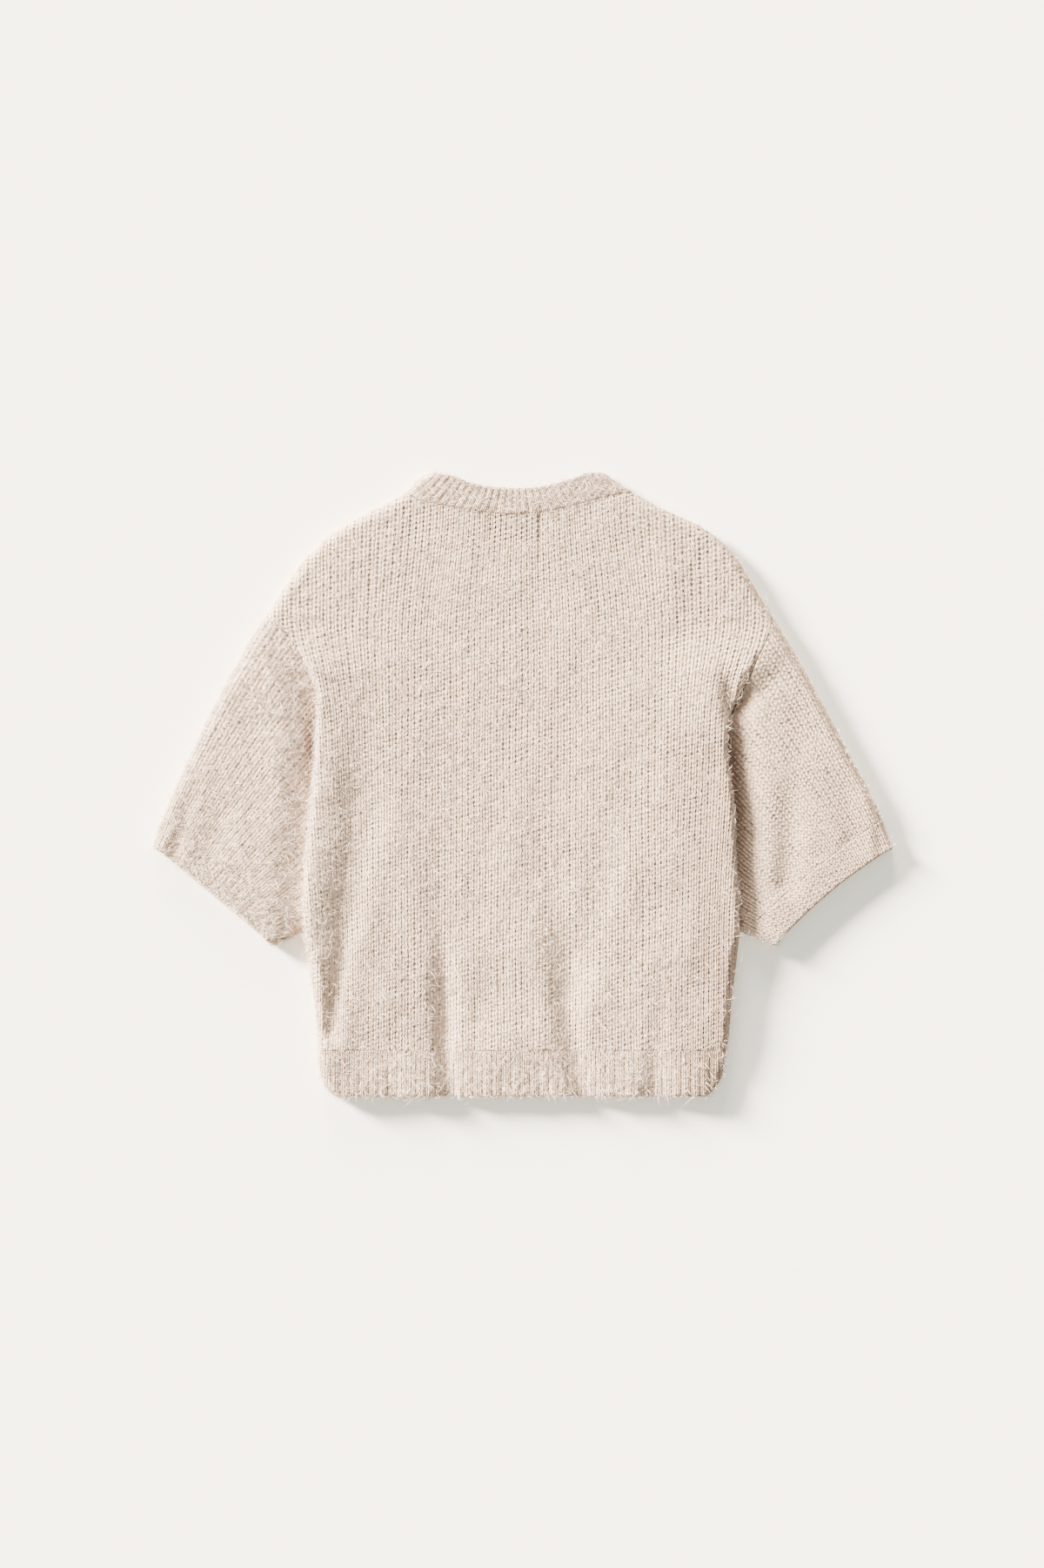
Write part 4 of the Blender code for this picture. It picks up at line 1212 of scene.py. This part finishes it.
def from_band(seam, t):
    """How far out a share t of the way from the band to a seam is."""
    return BAND + GAP + (seam - BAND - GAP) * t


def front_body(hand):
    """Places a front between its band and its armhole, from its hem seam to its upper edge."""
    def place(t, up, depth):
        turned = np.minimum(t / NECK_PART, 1.0)
        neck_x, neck_y = front_neck(turned * math.pi / 2, -GAP * (1.0 + 2.0 * turned), hand)
        start, end = NECK_OUT[hand], abs(contour[hand](SHOULDER_Y))
        along = start + (end - start) * np.maximum(t - NECK_PART, 0.0) / (1.0 - NECK_PART)
        top_x = np.where(t <= NECK_PART, neck_x, hand * along)
        top_y = np.where(t <= NECK_PART, neck_y, contour_y[hand](along))
        rise = np.maximum(up - LOW_PART, 0.0) / (1.0 - LOW_PART)
        y = np.where(up < LOW_PART, (HEM_SEAM + GAP) * (1.0 - up / LOW_PART), top_y * rise)
        seam = side_seam(y, hand) - np.where(y > 0.0, 2.1 * GAP * armhole_slant(y, hand), GAP)
        x = hand * from_band(seam, t)
        x = x + (top_x - x) * rise ** 1.5 * np.where(t > 0.999, 0.0, 1.0)
        return front_at(x, y, depth)
    return place


def front_rib(hand):
    def place(t, up, depth):
        x, y = front_neck(t * math.pi / 2, up * NECKBAND, hand)
        x = np.where(t > 0.999, contour[hand](np.minimum(y, OUTLINE_TOP)), x)
        return front_at(x, y, depth)
    return place


def front_hem(hand):
    def place(t, up, depth):
        y = mix(HEM_END, HEM_SEAM, up)
        return front_at(hand * from_band(side_seam(y, hand) - GAP, t), y, depth)
    return place


for hand, name in HANDS:
    for node, place, rows, columns, material, slot in (
            ("front_", front_body(hand), 120, 60, KNIT, "knit"),
            ("neckband_", front_rib(hand), 10, 48, RIBBED, "rib"),
            ("hem_", front_hem(hand), 14, 60, RIBBED, "rib")):
        wall(node + name, place, rows, columns, WALL, material, slot,
                                       (WALE if slot == "knit" else HEM_RIB, COURSE))
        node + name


# ---- The bands, the buttons under them, and the label
# Two rib bands lie on each other down the front, and six buttons with four holes close them.
def band(level):
    def place(t, up, depth):
        y = mix(HEM_END, FRONT_NECK + NECKBAND, up)
        return BAND * (2.0 * t - 1.0), y, np.full(t.shape, level) + depth
    return place


for node, level in (("buttonhole_band", BAND_LEVEL), ("button_band", UPPER_BAND_LEVEL)):
    wall(node, band(level), 90, 9, BAND_WALL, RIBBED, "rib", (HEM_RIB, COURSE))

BUTTON_ENDS = (196.0, -266.0)  # y of the highest button and of the lowest
HOLE_AT = 1.8
button_material = tinted("button_resin", (90.0, 4.0, (1.0, 3.0, 1.0)), (0.62, 0.54, 0.45, 1.0),
                         (0.48, 0.40, 0.32, 1.0), {"Roughness": 0.35})


def cylinder(vertices, radius, tall, x, y, z):
    bpy.ops.mesh.primitive_cylinder_add(vertices=vertices, radius=radius * MM, depth=tall * MM,
                                        location=(x * MM, y * MM, z * MM))
    return bpy.context.object


for n in range(6):
    y = BUTTON_ENDS[0] + (BUTTON_ENDS[1] - BUTTON_ENDS[0]) * n / 5
    button = cylinder(40, BUTTON_RADIUS, BUTTON_THICK, 0.0, y, BUTTON_THICK / 2)
    button.name = f"button_{n + 1}_resin"
    bm = bmesh.new()
    bm.from_mesh(button.data)
    bottom = min(bm.faces, key=lambda face: face.calc_center_median().z)
    bmesh.ops.inset_individual(bm, faces=[bottom], thickness=2.0 * MM, depth=-0.5 * MM)
    sharp = [edge for edge in bm.edges if edge.calc_face_angle(0.0) > 0.6]
    bmesh.ops.bevel(bm, geom=sharp, offset=0.25 * MM, segments=2, affect="EDGES", profile=0.6)
    bm.to_mesh(button.data)
    bm.free()
    for across in (-HOLE_AT, HOLE_AT):
        for up in (-HOLE_AT, HOLE_AT):
            drill = cylinder(12, 0.85, 8.0, across, y + up, 1.0)
            cut = button.modifiers.new("hole", "BOOLEAN")
            cut.object = drill
            cut.operation = "DIFFERENCE"
            bpy.context.view_layer.objects.active = button
            bpy.ops.object.modifier_apply(modifier="hole")
            bpy.data.objects.remove(drill)
    bpy.ops.object.select_all(action="DESELECT")
    button.select_set(True)
    bpy.context.view_layer.objects.active = button
    bpy.ops.object.transform_apply(location=True)
    button.data.materials.append(button_material)
    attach(button, "root")
    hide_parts(f"button_{n + 1}")

LABEL_THICK = 0.8
LABEL_TOP = 246.5
label_material = tinted("label_satin", (1800.0, 2.0, (0.2, 1.0, 1.0)), (0.80, 0.78, 0.74, 1.0),
                        (0.72, 0.70, 0.66, 1.0), {"Roughness": 0.55})


def label_at(t, up, depth):
    x, y = mix(LABEL[0], LABEL[1], t), mix(LABEL[2], LABEL_TOP, up)
    return x, y, body_height(x, y) - WALL - GAP - (LABEL_THICK - depth)


label = wall("label", label_at, 8, 14, LABEL_THICK, label_material, "label")


# ---- The loose hairs of each piece that shows
# The counts are of long bent hairs and of short straight ones.
loose = {
    "back": hairs("back_hairs", back, 9500, 25000, 31),
    "hem_back": hairs("hem_hairs", hem, 1700, 4500, 32, "rib"),
    "neckband_back": hairs("neckband_hairs", neckband, 550, 1400, 33, "rib"),
}
for hand, name in HANDS:
    loose["sleeve_" + name] = hairs(f"sleeve_{name}_hairs", sleeves[hand], 4500, 9000, 34 + hand)
    loose["cuff_" + name] = hairs(f"cuff_{name}_hairs", sleeves[hand, "cuff"], 1100, 1500,
                                  37 + hand, "rib")


for hand, name in HANDS:
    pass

[[list(map(float, corner)) for corner in box] for box in (CAD_BOX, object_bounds())]
